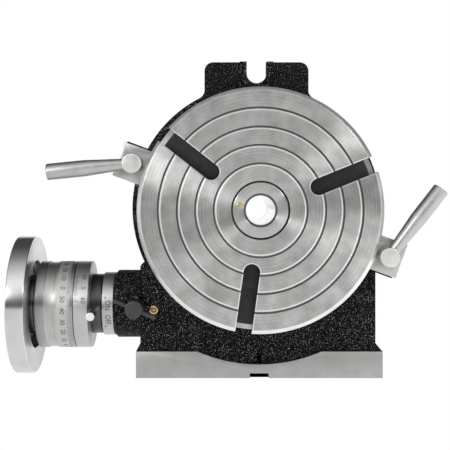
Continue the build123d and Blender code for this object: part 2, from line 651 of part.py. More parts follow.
def make_cover_screws():
    """The screws of the back cover."""
    screws = Part()
    for x, z in cover_screw_places():
        screws += socket_screw(
            COVER_SCREW_RADIUS,
            COVER_SCREW_HEAD_RADIUS,
            COVER_SCREW_HEAD_LENGTH,
            COVER_SCREW_LENGTH,
            COVER_BACK + COVER_SCREW_HEAD_LENGTH,
            x,
            z,
            2.5,
        )
    return screws


def make_ring_nut():
    """The slotted nut on the sleeve's tail."""
    nut = rod_y(RING_NUT_RADIUS, COVER_BACK, SLEEVE_END)
    nut -= rod_y(SLEEVE_THREAD_RADIUS, COVER_BACK - 1, SLEEVE_END + 1)
    for turn in range(RING_NUT_NOTCHES):
        x, z = around_table(turn * 360 / RING_NUT_NOTCHES, RING_NUT_RADIUS)
        notch = Pos(x, z) * Rot(0, 0, turn * 360 / RING_NUT_NOTCHES) * Rectangle(4.0, RING_NUT_NOTCH)
        nut -= slab(notch, COVER_BACK - 1, SLEEVE_END + 1)
    return nut


# Ball oilers

def oiler_cup(sizes, face, x, z):
    """A brass ball oiler pressed in along Y, with its rim on a face."""
    front = face - sizes["proud"]
    cup = rod_y(sizes["cup"], front, front + sizes["length"], x, z)
    cup += rod_y(sizes["rim"], front, face, x, z)
    cup -= rod_y(sizes["mouth"], front + OILER_LIP, front + sizes["length"], x, z)
    return cup - rod_y(sizes["ball"] - OILER_LIP_OVERLAP, front - 1, front + 1, x, z)


def oiler_ball(sizes, face, x, z):
    """The ball that closes an oiler's mouth from inside."""
    lip_back = face - sizes["proud"] + OILER_LIP
    lip_radius = sizes["ball"] - OILER_LIP_OVERLAP
    setback = math.sqrt((sizes["ball"] + RUNNING_CLEARANCE) ** 2 - lip_radius**2)
    return Pos(x, lip_back + setback, z) * Sphere(sizes["ball"])


def front_oiler_place():
    """Where the front oiler sits: its face, X and Z."""
    return HOUSING_FRONT, OILER_X, OILER_Z


def centre_oiler_place():
    """Where the centre oiler sits: its face, X and Z."""
    x, z = around_table(CENTRE_OILER_ANGLE, CENTRE_OILER_CIRCLE)
    return SLEEVE_HEAD_FRONT, x, z


# Eccentric sleeve, its lever and the vernier ring

def make_eccentric_sleeve():
    """The turning sleeve that carries the worm shaft off its own axis."""
    axis_y = SLEEVE_AXIS_DEPTH
    sleeve = rod_x(ECCENTRIC_RADIUS, COLLAR_RIGHT, ECCENTRIC_RIGHT_END, y=axis_y)
    sleeve -= rod_x(SHAFT_JOURNAL_RADIUS + RUNNING_CLEARANCE, COLLAR_RIGHT - 1, SHAFT_SHOULDER + 1)
    sleeve -= rod_x(WORM_PASSAGE_RADIUS, SHAFT_SHOULDER, ECCENTRIC_RIGHT_END + 1)
    reach = WINDOW_REACH
    window = Pos(0, 0, WINDOW_FLOOR + reach / 2) * Box(2 * WINDOW_HALF_LENGTH, 2 * reach, reach)
    return sleeve - Pos(0, axis_y, WORM_HEIGHT) * Rot(-WINDOW_TILT, 0, 0) * window


def make_sleeve_nose():
    """The flange on the sleeve's end, which the lever turns, and its nose for the vernier ring."""
    axis_y = SLEEVE_AXIS_DEPTH
    nose = rod_x(COLLAR_RADIUS, COLLAR_LEFT, COLLAR_RIGHT, y=axis_y)
    nose += rod_x(VERNIER_SEAT_RADIUS, VERNIER_LEFT, COLLAR_LEFT + 1)
    nose -= rod_x(SHAFT_JOURNAL_RADIUS + RUNNING_CLEARANCE, VERNIER_LEFT - 1, COLLAR_RIGHT + 1)
    pin_seat = axis_y - COLLAR_RADIUS + LEVER_PIN_SEAT_DEPTH
    return nose - rod_y(LEVER_PIN_RADIUS - 0.6, TOE_FRONT, pin_seat, LEVER_PIN_X, WORM_HEIGHT)


def make_sleeve_lever():
    """The bright pin that turns the eccentric sleeve."""
    surface = SLEEVE_AXIS_DEPTH - COLLAR_RADIUS
    shoulder = surface - 0.5
    pin = rod_y(LEVER_PIN_RADIUS, LEVER_PIN_TIP, shoulder, LEVER_PIN_X, WORM_HEIGHT)
    pin = fillet(pin.edges().group_by(Axis.Y)[0], 0.8)
    return pin + rod_y(
        LEVER_PIN_RADIUS - 0.6, shoulder - 1, surface + LEVER_PIN_SEAT_DEPTH, LEVER_PIN_X, WORM_HEIGHT
    )


def make_switch_ring():
    """The ring on the boss's end that the lever is read against."""
    ring = rod_x(SWITCH_RING_RADIUS, SWITCH_RING_LEFT, BOSS_LEFT, y=SLEEVE_AXIS_DEPTH)
    hole = ECCENTRIC_RADIUS + LOOSE_CLEARANCE
    return ring - rod_x(hole, SWITCH_RING_LEFT - 1, BOSS_LEFT + 1, y=SLEEVE_AXIS_DEPTH)


def make_vernier_ring():
    """The vernier ring on the sleeve's nose, true to the worm's axis."""
    ring = rod_x(VERNIER_RADIUS, VERNIER_LEFT, COLLAR_LEFT)
    ring -= rod_x(VERNIER_SEAT_RADIUS, VERNIER_LEFT - 1, COLLAR_LEFT + 1)
    middle = (VERNIER_LEFT + COLLAR_LEFT) / 2
    top = WORM_HEIGHT + VERNIER_RADIUS
    hole = Pos(middle, WORM_DEPTH, top - VERNIER_RADIUS / 2) * Cylinder(VERNIER_SCREW_RADIUS, VERNIER_RADIUS)
    return ring - hole


def make_vernier_screw():
    """The grub screw that sets the vernier ring."""
    middle = (VERNIER_LEFT + COLLAR_LEFT) / 2
    bottom = WORM_HEIGHT + VERNIER_SEAT_RADIUS
    screw = Pos(middle, WORM_DEPTH, bottom + VERNIER_SCREW_LENGTH / 2) * Cylinder(
        VERNIER_SCREW_RADIUS, VERNIER_SCREW_LENGTH
    )
    socket = extrude(RegularPolygon(0.8, 6), amount=2)
    return screw - Pos(middle, WORM_DEPTH, bottom + VERNIER_SCREW_LENGTH - 1.5) * socket


def make_worm_bush():
    """The bronze bush at the sleeve's inner end."""
    left = ECCENTRIC_RIGHT_END - BUSH_LENGTH
    bush = rod_x(WORM_PASSAGE_RADIUS, left, ECCENTRIC_RIGHT_END)
    return bush - rod_x(SHAFT_TAIL_RADIUS + RUNNING_CLEARANCE, left - 1, ECCENTRIC_RIGHT_END + 1)


# Worm shaft, dial and handwheel

def make_worm_shaft():
    """The shaft with its worm thread, in mesh with the wheel at rest."""
    half = WORM_LENGTH / 2
    points = [
        (SHAFT_LEFT_END, 0),
        (SHAFT_LEFT_END, SHAFT_THREAD_RADIUS - 0.5),
        (SHAFT_LEFT_END + 0.5, SHAFT_THREAD_RADIUS),
        (NUT_SEAT, SHAFT_THREAD_RADIUS),
        (NUT_SEAT, SHAFT_SEAT_RADIUS),
        (VERNIER_LEFT, SHAFT_SEAT_RADIUS),
        (VERNIER_LEFT, SHAFT_JOURNAL_RADIUS),
        (SHAFT_SHOULDER, SHAFT_JOURNAL_RADIUS),
        (SHAFT_SHOULDER, SHAFT_BODY_RADIUS),
        (-half - 3, SHAFT_BODY_RADIUS),
        (-half - 1, WORM_ROOT_RADIUS),
        (half + 1, WORM_ROOT_RADIUS),
        (half + 2, SHAFT_TAIL_RADIUS),
        (SHAFT_TAIL_END, SHAFT_TAIL_RADIUS),
        (SHAFT_TAIL_END, 0),
    ]
    shaft = turned_x(points)
    shaft += Pos(0, WORM_DEPTH, WORM_HEIGHT) * worm_thread()
    return shaft - shaft_key(RUNNING_CLEARANCE)


def worm_thread():
    """The worm's single right-hand thread, swept along a helix about X."""
    flank = math.tan(math.radians(PRESSURE_ANGLE))
    sunk = 0.3
    half_pitch_width = THREAD_PITCH / 4 - WORM_THREAD_THINNING
    half_tip = half_pitch_width - flank * GEAR_MODULE
    half_root = half_pitch_width + flank * (1.25 * GEAR_MODULE + sunk)
    root = WORM_ROOT_RADIUS - sunk
    path = Helix(pitch=THREAD_PITCH, height=WORM_LENGTH, radius=WORM_PITCH_RADIUS)
    points = [
        (root - WORM_PITCH_RADIUS, -half_root),
        (WORM_TIP_RADIUS - WORM_PITCH_RADIUS, -half_tip),
        (WORM_TIP_RADIUS - WORM_PITCH_RADIUS, half_tip),
        (root - WORM_PITCH_RADIUS, half_root),
    ]
    start = Plane(origin=path @ 0, x_dir=(1, 0, 0), z_dir=(0, -1, 0))
    outline = start * make_face(Polyline(*points, close=True))
    thread = sweep(outline, path=path, is_frenet=True)
    phase = -180 - 360 * (WORM_LENGTH / 2) / THREAD_PITCH
    return Pos(-WORM_LENGTH / 2, 0, 0) * Rot(0, 90, 0) * Rot(0, 0, phase) * thread


def shaft_key(clearance=0.0):
    """The key that drives the dial's hub and the handwheel."""
    half = KEY_WIDTH / 2 + clearance
    bottom = WORM_HEIGHT + SHAFT_SEAT_RADIUS - KEY_HEIGHT / 2
    left = NUT_SEAT + 2
    right = HUB_FLANGE_LEFT
    return block(left, right, WORM_DEPTH - half, WORM_DEPTH + half, bottom, bottom + KEY_HEIGHT)


def make_worm_thrust_washer():
    """The washer between the sleeve's nose and the end-play nuts."""
    washer = rod_x(THRUST_WASHER_RADIUS, WASHER_LEFT, VERNIER_LEFT)
    return washer - rod_x(SHAFT_SEAT_RADIUS, WASHER_LEFT - 1, VERNIER_LEFT + 1)


def make_end_play_nuts():
    """Two slotted nuts, locked against each other, that take up the worm's end play."""
    nuts = Part()
    for index in range(2):
        left = NUTS_LEFT + index * LOCK_NUT_THICKNESS
        nut = rod_x(LOCK_NUT_RADIUS, left + 0.1 * index, left + LOCK_NUT_THICKNESS)
        nut -= rod_x(SHAFT_SEAT_RADIUS, left - 1, left + LOCK_NUT_THICKNESS + 1)
        for side in (-1, 1):
            edge = WORM_HEIGHT + side * LOCK_NUT_RADIUS
            nut -= Pos(left, WORM_DEPTH, edge) * Box(4 * LOCK_NUT_THICKNESS, 3, 3)
        nuts += nut
    return nuts


def make_dial_hub():
    """The keyed hub that the dial turns on."""
    points = [
        (HUB_RIGHT, SHAFT_SEAT_RADIUS),
        (HUB_RIGHT, DIAL_HUB_RADIUS),
        (HUB_FLANGE_LEFT, DIAL_HUB_RADIUS),
        (HUB_FLANGE_LEFT, DIAL_HUB_FLANGE_RADIUS),
        (HUB_FLANGE_LEFT + DIAL_HUB_FLANGE_LENGTH, DIAL_HUB_FLANGE_RADIUS),
        (HUB_FLANGE_LEFT + DIAL_HUB_FLANGE_LENGTH, SHAFT_SEAT_RADIUS),
    ]
    return turned_x(points) - shaft_key(RUNNING_CLEARANCE)


def make_dial_spring():
    """The spring washer that gives the dial its drag."""
    left = DIAL_WEB_RIGHT
    ring = rod_x(DIAL_HUB_FLANGE_RADIUS - 1, left, HUB_FLANGE_LEFT)
    return ring - rod_x(DIAL_HUB_RADIUS + LOOSE_CLEARANCE, left - 1, HUB_FLANGE_LEFT + 1)


def make_dial():
    """The graduated dial: a flange, a shallow neck and a wide scale over a hollow skirt."""
    neck_left = DIAL_LEFT + DIAL_FLANGE_LENGTH
    neck_right = neck_left + DIAL_NECK_LENGTH
    points = [
        (DIAL_LEFT, DIAL_HUB_RADIUS + RUNNING_CLEARANCE),
        (DIAL_LEFT, DIAL_RADIUS - 0.5),
        (DIAL_LEFT + 0.5, DIAL_RADIUS),
        (neck_left, DIAL_RADIUS),
        (neck_left, DIAL_NECK_RADIUS),
        (neck_right, DIAL_NECK_RADIUS),
        (neck_right, DIAL_RADIUS),
        (DIAL_RIGHT, DIAL_RADIUS),
        (DIAL_RIGHT, DIAL_RADIUS - DIAL_WALL),
        (DIAL_WEB_RIGHT, DIAL_RADIUS - DIAL_WALL),
        (DIAL_WEB_RIGHT, DIAL_HUB_RADIUS + RUNNING_CLEARANCE),
    ]
    return turned_x(points)


def make_handwheel():
    """The turned handwheel with a rim, a recess round its hub and a hole for a crank handle."""
    recess_floor = WHEEL_RIGHT - WHEEL_RECESS_DEPTH
    groove = WHEEL_RIGHT + 0.6
    groove_bottom = WHEEL_HUB_RADIUS - WHEEL_HUB_GROOVE
    points = [
        (NUT_SEAT, SHAFT_SEAT_RADIUS),
        (NUT_SEAT, WHEEL_NUT_RECESS_RADIUS),
        (WHEEL_LEFT, WHEEL_NUT_RECESS_RADIUS),
        (WHEEL_LEFT, WHEEL_RIM_RADIUS - WHEEL_EDGE),
        (WHEEL_LEFT + WHEEL_EDGE, WHEEL_RIM_RADIUS),
        (WHEEL_RIGHT - WHEEL_EDGE, WHEEL_RIM_RADIUS),
        (WHEEL_RIGHT, WHEEL_RIM_RADIUS - WHEEL_EDGE),
        (WHEEL_RIGHT, WHEEL_RECESS_RADIUS),
        (recess_floor, WHEEL_RECESS_RADIUS),
        (recess_floor, WHEEL_HUB_RADIUS),
        (groove, WHEEL_HUB_RADIUS),
        (groove, groove_bottom),
        (groove + WHEEL_HUB_GROOVE, groove_bottom),
        (groove + WHEEL_HUB_GROOVE, WHEEL_HUB_RADIUS),
        (HUB_RIGHT, WHEEL_HUB_RADIUS),
        (HUB_RIGHT, SHAFT_SEAT_RADIUS),
    ]
    wheel = turned_x(points)
    wheel -= shaft_key(RUNNING_CLEARANCE)
    handle_height = WORM_HEIGHT + CRANK_HOLE_CIRCLE
    return wheel - rod_x(CRANK_HOLE_RADIUS, WHEEL_LEFT - 1, WHEEL_LEFT + CRANK_HOLE_DEPTH, z=handle_height)


def make_handwheel_washer():
    """The washer under the handwheel's nut."""
    left = NUT_SEAT - WHEEL_WASHER_THICKNESS
    washer = rod_x(WHEEL_WASHER_RADIUS, left, NUT_SEAT)
    return washer - rod_x(SHAFT_THREAD_RADIUS, left - 1, NUT_SEAT + 1)


def make_handwheel_nut():
    """The hexagon nut that holds the handwheel."""
    right = NUT_SEAT - WHEEL_WASHER_THICKNESS
    hexagon = RegularPolygon(WHEEL_NUT_FLATS / 2, 6, major_radius=False)
    nut = Pos(right, WORM_DEPTH, WORM_HEIGHT) * extrude(Plane.YZ * hexagon, amount=-WHEEL_NUT_THICKNESS)
    return nut - rod_x(SHAFT_THREAD_RADIUS, right - WHEEL_NUT_THICKNESS - 1, right + 1)


# Table clamps

def make_clamp_plate(side):
    """A flat plate whose inner edge reaches into the groove in the table's rim."""
    length = CLAMP_PLATE_OUTER - PLATE_INNER
    outline = Pos(PLATE_INNER + length / 2, 0) * Rectangle(length, CLAMP_PLATE_WIDTH)
    outline -= Pos(CLAMP_CIRCLE, 0) * Circle(CLAMP_BOLT_RADIUS + 0.05)
    return slab(Rot(0, 0, CLAMP_ANGLES[side]) * outline, PLATE_FRONT, PLATE_BACK)


def make_clamp_bolt(side):
    """A clamp's bolt with its round head, cross-drilled for the lever."""
    x, z = around_table(CLAMP_ANGLES[side], CLAMP_CIRCLE)
    head = rod_y(CLAMP_HEAD_RADIUS, CLAMP_HEAD_FRONT, PLATE_FRONT, x, z)
    head = chamfer(head.edges().group_by(Axis.Y)[0], 0.5)
    bolt_end = LUG_FRONT + CLAMP_BOLT_REACH - 1.5
    bolt = head + rod_y(CLAMP_BOLT_RADIUS, PLATE_FRONT - 1, bolt_end, x, z)
    return bolt - clamp_lever_blank(side, LEVER_NECK_RADIUS - 1.0, 1.0, CLAMP_HEAD_RADIUS + 1)


def clamp_lever_blank(side, radius, start, end):
    """A round bar along one lever's direction, between two distances from the bolt's axis."""
    x, z = around_table(CLAMP_ANGLES[side], CLAMP_CIRCLE)
    bar = Pos((start + end) / 2, 0, 0) * Rot(0, 90, 0) * Cylinder(radius, end - start)
    return Pos(x, LEVER_DEPTH, z) * Rot(0, -LEVER_ANGLES[side], 0) * bar


def make_clamp_lever(side):
    """A clamp's handle: a grip that tapers to a neck, screwed into the bolt's head."""
    neck = math.sqrt(CLAMP_HEAD_RADIUS**2 - LEVER_NECK_RADIUS**2) - 0.1
    taper_end = LEVER_LENGTH - LEVER_TAPER_LENGTH
    points = [
        (1.0, 0),
        (1.0, LEVER_NECK_RADIUS - 1.0),
        (neck, LEVER_NECK_RADIUS - 1.0),
        (CLAMP_HEAD_RADIUS + 0.1, LEVER_NECK_RADIUS - 1.0),
        (CLAMP_HEAD_RADIUS + 0.1, LEVER_NECK_RADIUS),
        (taper_end, LEVER_RADIUS),
        (LEVER_LENGTH - 0.8, LEVER_RADIUS),
        (LEVER_LENGTH, LEVER_RADIUS - 0.8),
        (LEVER_LENGTH, 0),
    ]
    grip = revolve(make_face(Polyline(*points, close=True)), axis=Axis.X)
    x, z = around_table(CLAMP_ANGLES[side], CLAMP_CIRCLE)
    return Pos(x, LEVER_DEPTH, z) * Rot(0, -LEVER_ANGLES[side], 0) * grip


# Sleeve lock

def tommy_bar_solid(radius, half_length):
    """A round bar across the lock screw's head."""
    bar = Rot(0, 90, 0) * Cylinder(radius, 2 * half_length)
    return Pos(LOCK_X, LOCK_HEAD_FRONT + TOMMY_SETBACK, WORM_HEIGHT) * Rot(0, -TOMMY_ANGLE, 0) * bar


def make_lock_screw():
    """The screw that locks the eccentric sleeve, with a cross hole in its head."""
    head_back = LOCK_HEAD_FRONT + LOCK_HEAD_LENGTH
    head = rod_y(LOCK_HEAD_RADIUS, LOCK_HEAD_FRONT, head_back, LOCK_X, WORM_HEIGHT)
    head = fillet(head.edges().group_by(Axis.Y)[0], 0.8)
    shank_end = SLEEVE_AXIS_DEPTH - ECCENTRIC_RADIUS - FACE_GAP
    screw = head + rod_y(LOCK_SHANK_RADIUS, head_back - 1, shank_end, LOCK_X, WORM_HEIGHT)
    return screw - tommy_bar_solid(TOMMY_RADIUS + RUNNING_CLEARANCE, LOCK_HEAD_RADIUS + 1)


def make_tommy_bar():
    """The loose bar with swelled ends."""
    half = TOMMY_LENGTH / 2
    points = [
        (-half, 0),
        (-half, TOMMY_TIP_RADIUS - 0.4),
        (-half + 0.4, TOMMY_TIP_RADIUS),
        (-half + TOMMY_TIP_LENGTH, TOMMY_TIP_RADIUS),
        (-half + TOMMY_TIP_LENGTH + 0.5, TOMMY_RADIUS),
        (half - TOMMY_TIP_LENGTH - 0.5, TOMMY_RADIUS),
        (half - TOMMY_TIP_LENGTH, TOMMY_TIP_RADIUS),
        (half - 0.4, TOMMY_TIP_RADIUS),
        (half, TOMMY_TIP_RADIUS - 0.4),
        (half, 0),
    ]
    bar = revolve(make_face(Polyline(*points, close=True)), axis=Axis.X)
    return Pos(LOCK_X, LOCK_HEAD_FRONT + TOMMY_SETBACK, WORM_HEIGHT) * Rot(0, -TOMMY_ANGLE, 0) * bar


# Index plate

def index_frame(distance):
    """A frame on the drum's side under the index plate, with its Z pointing outwards."""
    x, z = around_table(INDEX_ANGLE, distance)
    middle = INDEX_FRONT + INDEX_WIDTH / 2
    return Pos(x, middle, z) * Rot(0, 90 - INDEX_ANGLE, 0)


def index_pins(head_height):
    """The two drive pins of the index plate."""
    pins = Part()
    length = 4.0 + INDEX_THICKNESS + head_height
    for side in (-1, 1):
        place = Pos(side * INDEX_PIN_SPACING / 2, 0, length / 2 - 4.0)
        pins += index_frame(DRUM_RADIUS) * place * Cylinder(INDEX_PIN_RADIUS, length)
    return pins


def make_index_plate():
    """A thin plate, curved to the drum, whose line marks the degrees on the table's rim."""
    outline = Circle(DRUM_RADIUS + INDEX_THICKNESS) - Circle(DRUM_RADIUS)
    half_turn = math.degrees(INDEX_LENGTH / 2 / DRUM_RADIUS)
    reach = 2 * DRUM_RADIUS
    spread = reach * math.tan(math.radians(half_turn))
    wedge = make_face(Polyline((0, 0), (reach, -spread), (reach, spread), close=True))
    outline = outline & (Rot(0, 0, INDEX_ANGLE) * wedge)
    plate = slab(outline, INDEX_FRONT, INDEX_FRONT + INDEX_WIDTH)
    return plate - index_pins(0.0)


PARTS = {
    "body_casting": make_body_casting,
    "centre_sleeve": make_centre_sleeve,
    "thrust_washer": make_thrust_washer,
    "back_cover": make_back_cover,
    "cover_screws": make_cover_screws,
    "ring_nut": make_ring_nut,
    "switch_ring": make_switch_ring,
    "index_plate": make_index_plate,
    "index_pins": lambda: index_pins(0.6),
    "front_oiler": lambda: oiler_cup(FRONT_OILER, *front_oiler_place()),
    "front_oiler_ball": lambda: oiler_ball(FRONT_OILER, *front_oiler_place()),
    "centre_oiler": lambda: oiler_cup(CENTRE_OILER, *centre_oiler_place()),
    "centre_oiler_ball": lambda: oiler_ball(CENTRE_OILER, *centre_oiler_place()),
    "table": make_table,
    "table_hub": make_table_hub,
    "worm_wheel": make_worm_wheel,
    "wheel_screws": make_wheel_screws,
    "eccentric_sleeve": make_eccentric_sleeve,
    "sleeve_nose": make_sleeve_nose,
    "sleeve_lever": make_sleeve_lever,
    "vernier_ring": make_vernier_ring,
    "vernier_screw": make_vernier_screw,
    "worm_bush": make_worm_bush,
    "worm_shaft": make_worm_shaft,
    "shaft_key": shaft_key,
    "worm_thrust_washer": make_worm_thrust_washer,
    "end_play_nuts": make_end_play_nuts,
    "dial_hub": make_dial_hub,
    "dial_spring": make_dial_spring,
    "dial": make_dial,
    "handwheel": make_handwheel,
    "handwheel_washer": make_handwheel_washer,
    "handwheel_nut": make_handwheel_nut,
    "left_clamp_plate": lambda: make_clamp_plate("left"),
    "left_clamp_bolt": lambda: make_clamp_bolt("left"),
    "left_clamp_lever": lambda: make_clamp_lever("left"),
    "right_clamp_plate": lambda: make_clamp_plate("right"),
    "right_clamp_bolt": lambda: make_clamp_bolt("right"),
    "right_clamp_lever": lambda: make_clamp_lever("right"),
    "lock_screw": make_lock_screw,
    "tommy_bar": make_tommy_bar,
}

os.makedirs("parts", exist_ok=True)
for node, make in PARTS.items():
    export_step(make(), f"parts/{node}.step")
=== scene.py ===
import math

import bmesh
import bpy
import numpy as np
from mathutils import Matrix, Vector


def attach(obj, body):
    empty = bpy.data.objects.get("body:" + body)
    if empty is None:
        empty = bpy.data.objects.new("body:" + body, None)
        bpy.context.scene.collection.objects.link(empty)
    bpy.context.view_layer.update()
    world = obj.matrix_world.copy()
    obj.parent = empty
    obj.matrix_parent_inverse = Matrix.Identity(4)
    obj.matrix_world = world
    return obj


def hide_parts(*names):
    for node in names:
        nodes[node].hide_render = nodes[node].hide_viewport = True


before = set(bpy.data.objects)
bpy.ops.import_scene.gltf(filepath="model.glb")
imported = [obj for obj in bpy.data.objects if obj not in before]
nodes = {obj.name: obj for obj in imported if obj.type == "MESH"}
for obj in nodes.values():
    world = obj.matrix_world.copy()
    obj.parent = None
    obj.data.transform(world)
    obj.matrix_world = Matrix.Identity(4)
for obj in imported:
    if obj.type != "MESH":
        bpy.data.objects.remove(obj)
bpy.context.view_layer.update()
scene = bpy.context.scene

# Camera
# The view is straight onto the table's face, from a little left of the table's axis.
# A long lens stands 570 mm in front of the face, with the frame shifted down onto the table.
MM = 0.001
camera_data = bpy.data.cameras.new("camera")
camera = bpy.data.objects.new("camera", camera_data)
scene.collection.objects.link(camera)
scene.camera = camera
camera.location = (-21.5 * MM, -570 * MM, 10.4 * MM)
camera.rotation_euler = (math.radians(90), 0, 0)
camera_data.sensor_width = 36.0
camera_data.lens = 75.7
camera_data.shift_y = -0.071
camera_data.clip_start = 0.01


# Table
# A cast iron disc, turned and ground on its face, with four ring grooves and three T-slots.
# Its turned hub carries the worm wheel out of sight.

ORIGIN = (0, 0, 0)
X_AXIS = (1, 0, 0)
Y_AXIS = (0, 1, 0)
FACE_OPENING_RADIUS, FACE_OPENING_DEPTH = 17.9, 12.0
FACE_RADIUS = 72.5
TABLE_RADIUS = 75.0
RIM_GROOVE_FRONT, RIM_GROOVE_BACK, RIM_GROOVE_RADIUS = 11.4, 18.0, 71.0
SCALE_RADIUS = 74.5
TABLE_BACK = 24.0
HUB_RADIUS, HUB_BACK = 44.0, 36.5
WHEEL_SEAT_RADIUS, WHEEL_SEAT_BACK = 34.0, 47.5
JOURNAL_RADIUS, JOURNAL_BACK = 30.0, 74.5
TABLE_BORE = 13.3
GROOVES = (27.8, 39.0, 50.0, 61.5)
GROOVE_HALF_WIDTH = 1.1
GROOVE_DEPTH = 1.2
SLOT_ANGLES = (22, 142, 262)
SLOT_END = 37.8
SLOT_HALF_WIDTH, SLOT_NECK_DEPTH = 5.0, 8.0
SLOT_EDGE_WIDTH, SLOT_EDGE_DEPTH = 0.7, 0.6
SLOT_FOOT_HALF_WIDTH, SLOT_DEPTH = 8.75, 15.0


def stacked(start, *cylinders, hole=-2):
    """The outline of cylinders one behind the other: each (end, radius) goes on from the last end.
    A solid piece has the hole -2, which keeps the rounding of its corners away from its middle."""
    outline = [(start, hole)]
    for end, radius in cylinders:
        outline += [(start, radius), (end, radius)]
        start = end
    return outline + [(start, hole)]


def rounded(points, radius, steps=4):
    """The closed outline with each corner P cut at A and C, radius away along its sides, and
    joined by the curve (1-s)^2 A + 2s(1-s) P + s^2 C."""
    p = np.array(points, float)
    to_last = np.roll(p, 1, axis=0) - p
    to_next = np.roll(p, -1, axis=0) - p
    last = np.linalg.norm(to_last, axis=1, keepdims=True)
    following = np.linalg.norm(to_next, axis=1, keepdims=True)
    cut = np.minimum(radius, 0.45 * np.minimum(last, following))
    a = p + to_last / last * cut
    c = p + to_next / following * cut
    s = np.linspace(0, 1, steps)[:, None, None]
    curve = (1 - s) ** 2 * a + 2 * s * (1 - s) * p + s**2 * c
    return curve.transpose(1, 0, 2).reshape(-1, 2)


def grooved(outline, radii, half_width, depth):
    """Adds ring grooves to the face, after the rounded corner where the face starts. Across its
    width each goes down a gentle slope, along a flat bottom and up a steep outer wall."""
    across = np.array([-1.0, -0.9, 0.0, 0.08, 0.8, 0.95, 1.0]) * half_width
    down = np.array([0.0, 0.05, 0.6, 0.95, 1.0, 0.12, 0.0]) * depth
    cuts = np.concatenate([np.stack([down, radius + across], axis=-1) for radius in radii])
    return np.concatenate([outline[:4], cuts, outline[4:]])


def new_piece(name, mesh):
    """A mesh, a word or a lamp as an object of the scene."""
    piece = bpy.data.objects.new(name, mesh)
    scene.collection.objects.link(piece)
    return piece


def smooth_shaded(mesh, sharp):
    """Shades a mesh smooth, but for edges where it bends by more than an angle in degrees."""
    mesh.polygons.foreach_set("use_smooth", np.ones(len(mesh.polygons), bool))
    mesh.set_sharp_from_angle(angle=math.radians(sharp))


def mesh_piece(name, points, faces, sharp=35):
    """A mesh object from points in millimetres, with doubles merged and faces turned outwards."""
    mesh = bpy.data.meshes.new(name)
    mesh.from_pydata((np.asarray(points) * MM).tolist(), [], faces)
    built = bmesh.new()
    built.from_mesh(mesh)
    bmesh.ops.remove_doubles(built, verts=built.verts, dist=1e-6)
    bmesh.ops.recalc_face_normals(built, faces=built.faces)
    built.to_mesh(mesh)
    built.free()
    smooth_shaded(mesh, sharp)
    return new_piece(name, mesh)


def ring_faces(rows, columns, closed_rows=True):
    """Quads between each row of a grid and the next. The columns wrap round."""
    i = np.arange(rows if closed_rows else rows - 1)[:, None]
    j = np.arange(columns)[None, :]
    i2, j2 = (i + 1) % rows, (j + 1) % columns
    quads = np.stack([i * columns + j, i2 * columns + j, i2 * columns + j2, i * columns + j2], axis=-1)
    return quads.reshape(-1, 4).tolist()


def turned(name, outline, centre, along, turns=160):
    """A surface of revolution: the outline's point (a, r) goes round as
    centre + a * axis + r * (cos t * side + sin t * up). Each point may have a centre of its own."""
    axis = np.array(along, float)
    axis /= np.linalg.norm(axis)
    side = np.cross(axis, (0, 0, 1) if abs(axis[2]) < 0.9 else (1, 0, 0))
    side /= np.linalg.norm(side)
    up = np.cross(axis, side)
    t = np.linspace(0, 2 * np.pi, turns, endpoint=False)[None, :, None]
    a = np.array(outline)[:, 0][:, None, None]
    r = np.maximum(np.array(outline)[:, 1], 0)[:, None, None]
    centres = np.broadcast_to(np.array(centre, float), (len(outline), 3))[:, None, :]
    points = centres + a * axis + r * (np.cos(t) * side + np.sin(t) * up)
    return mesh_piece(name, points.reshape(-1, 3), ring_faces(len(outline), turns))


def slot_cutter(angle):
    """A T-slot's hollow: at depth y the outline is a bar of half width w(y), with a round inner end
    and an open outer end, so each point is turned by the angle from (along, across)."""
    depth = np.array([-1.0, 0.0, SLOT_EDGE_DEPTH, SLOT_NECK_DEPTH, SLOT_NECK_DEPTH, SLOT_DEPTH])
    mouth = SLOT_HALF_WIDTH + SLOT_EDGE_WIDTH
    half = [mouth, mouth, SLOT_HALF_WIDTH, SLOT_HALF_WIDTH, SLOT_FOOT_HALF_WIDTH, SLOT_FOOT_HALF_WIDTH]
    half = np.array(half)[:, None]
    rows = len(depth)
    t = np.linspace(np.pi / 2, 3 * np.pi / 2, 25)[None, :]
    along = np.concatenate([SLOT_END + half * np.cos(t), np.full((rows, 2), TABLE_RADIUS + 15)], axis=1)
    across = np.concatenate([half * np.sin(t), -half, half], axis=1)
    turn = math.radians(angle)
    x = along * math.cos(turn) - across * math.sin(turn)
    z = along * math.sin(turn) + across * math.cos(turn)
    y = np.broadcast_to(depth[:, None], x.shape)
    points = np.stack([x, y, z], axis=-1).reshape(-1, 3)
    columns = x.shape[1]
    ends = [list(range(columns)), list(range((rows - 1) * columns, rows * columns))]
    return mesh_piece("cutter", points, ring_faces(rows, columns, closed_rows=False) + ends)


def apply_modifiers(piece):
    """Replaces a piece's mesh by the one that its modifiers make."""
    graph = bpy.context.evaluated_depsgraph_get()
    made = bpy.data.meshes.new_from_object(piece.evaluated_get(graph))
    piece.modifiers.clear()
    piece.data = made


def cut_out(piece, cutter):
    """Cuts the cutter's shape out of a piece and removes the cutter."""
    cut = piece.modifiers.new("cut", "BOOLEAN")
    cut.object = cutter
    cut.operation = "DIFFERENCE"
    cut.solver = "EXACT"
    bpy.context.view_layer.update()
    apply_modifiers(piece)
    bpy.data.objects.remove(cutter)


def node_tree(name):
    """A new material, its node tree and its shader."""
    material = bpy.data.materials.new(name)
    material.use_nodes = True
    tree = material.node_tree
    return material, tree, tree.nodes["Principled BSDF"]


def add(tree, kind, **values):
    """A node with some of its settings and unlinked inputs set by name."""
    made = tree.nodes.new(kind)
    for key, value in values.items():
        if hasattr(made, key):
            setattr(made, key, value)
        else:
            made.inputs[key.replace("_", " ")].default_value = value
    return made


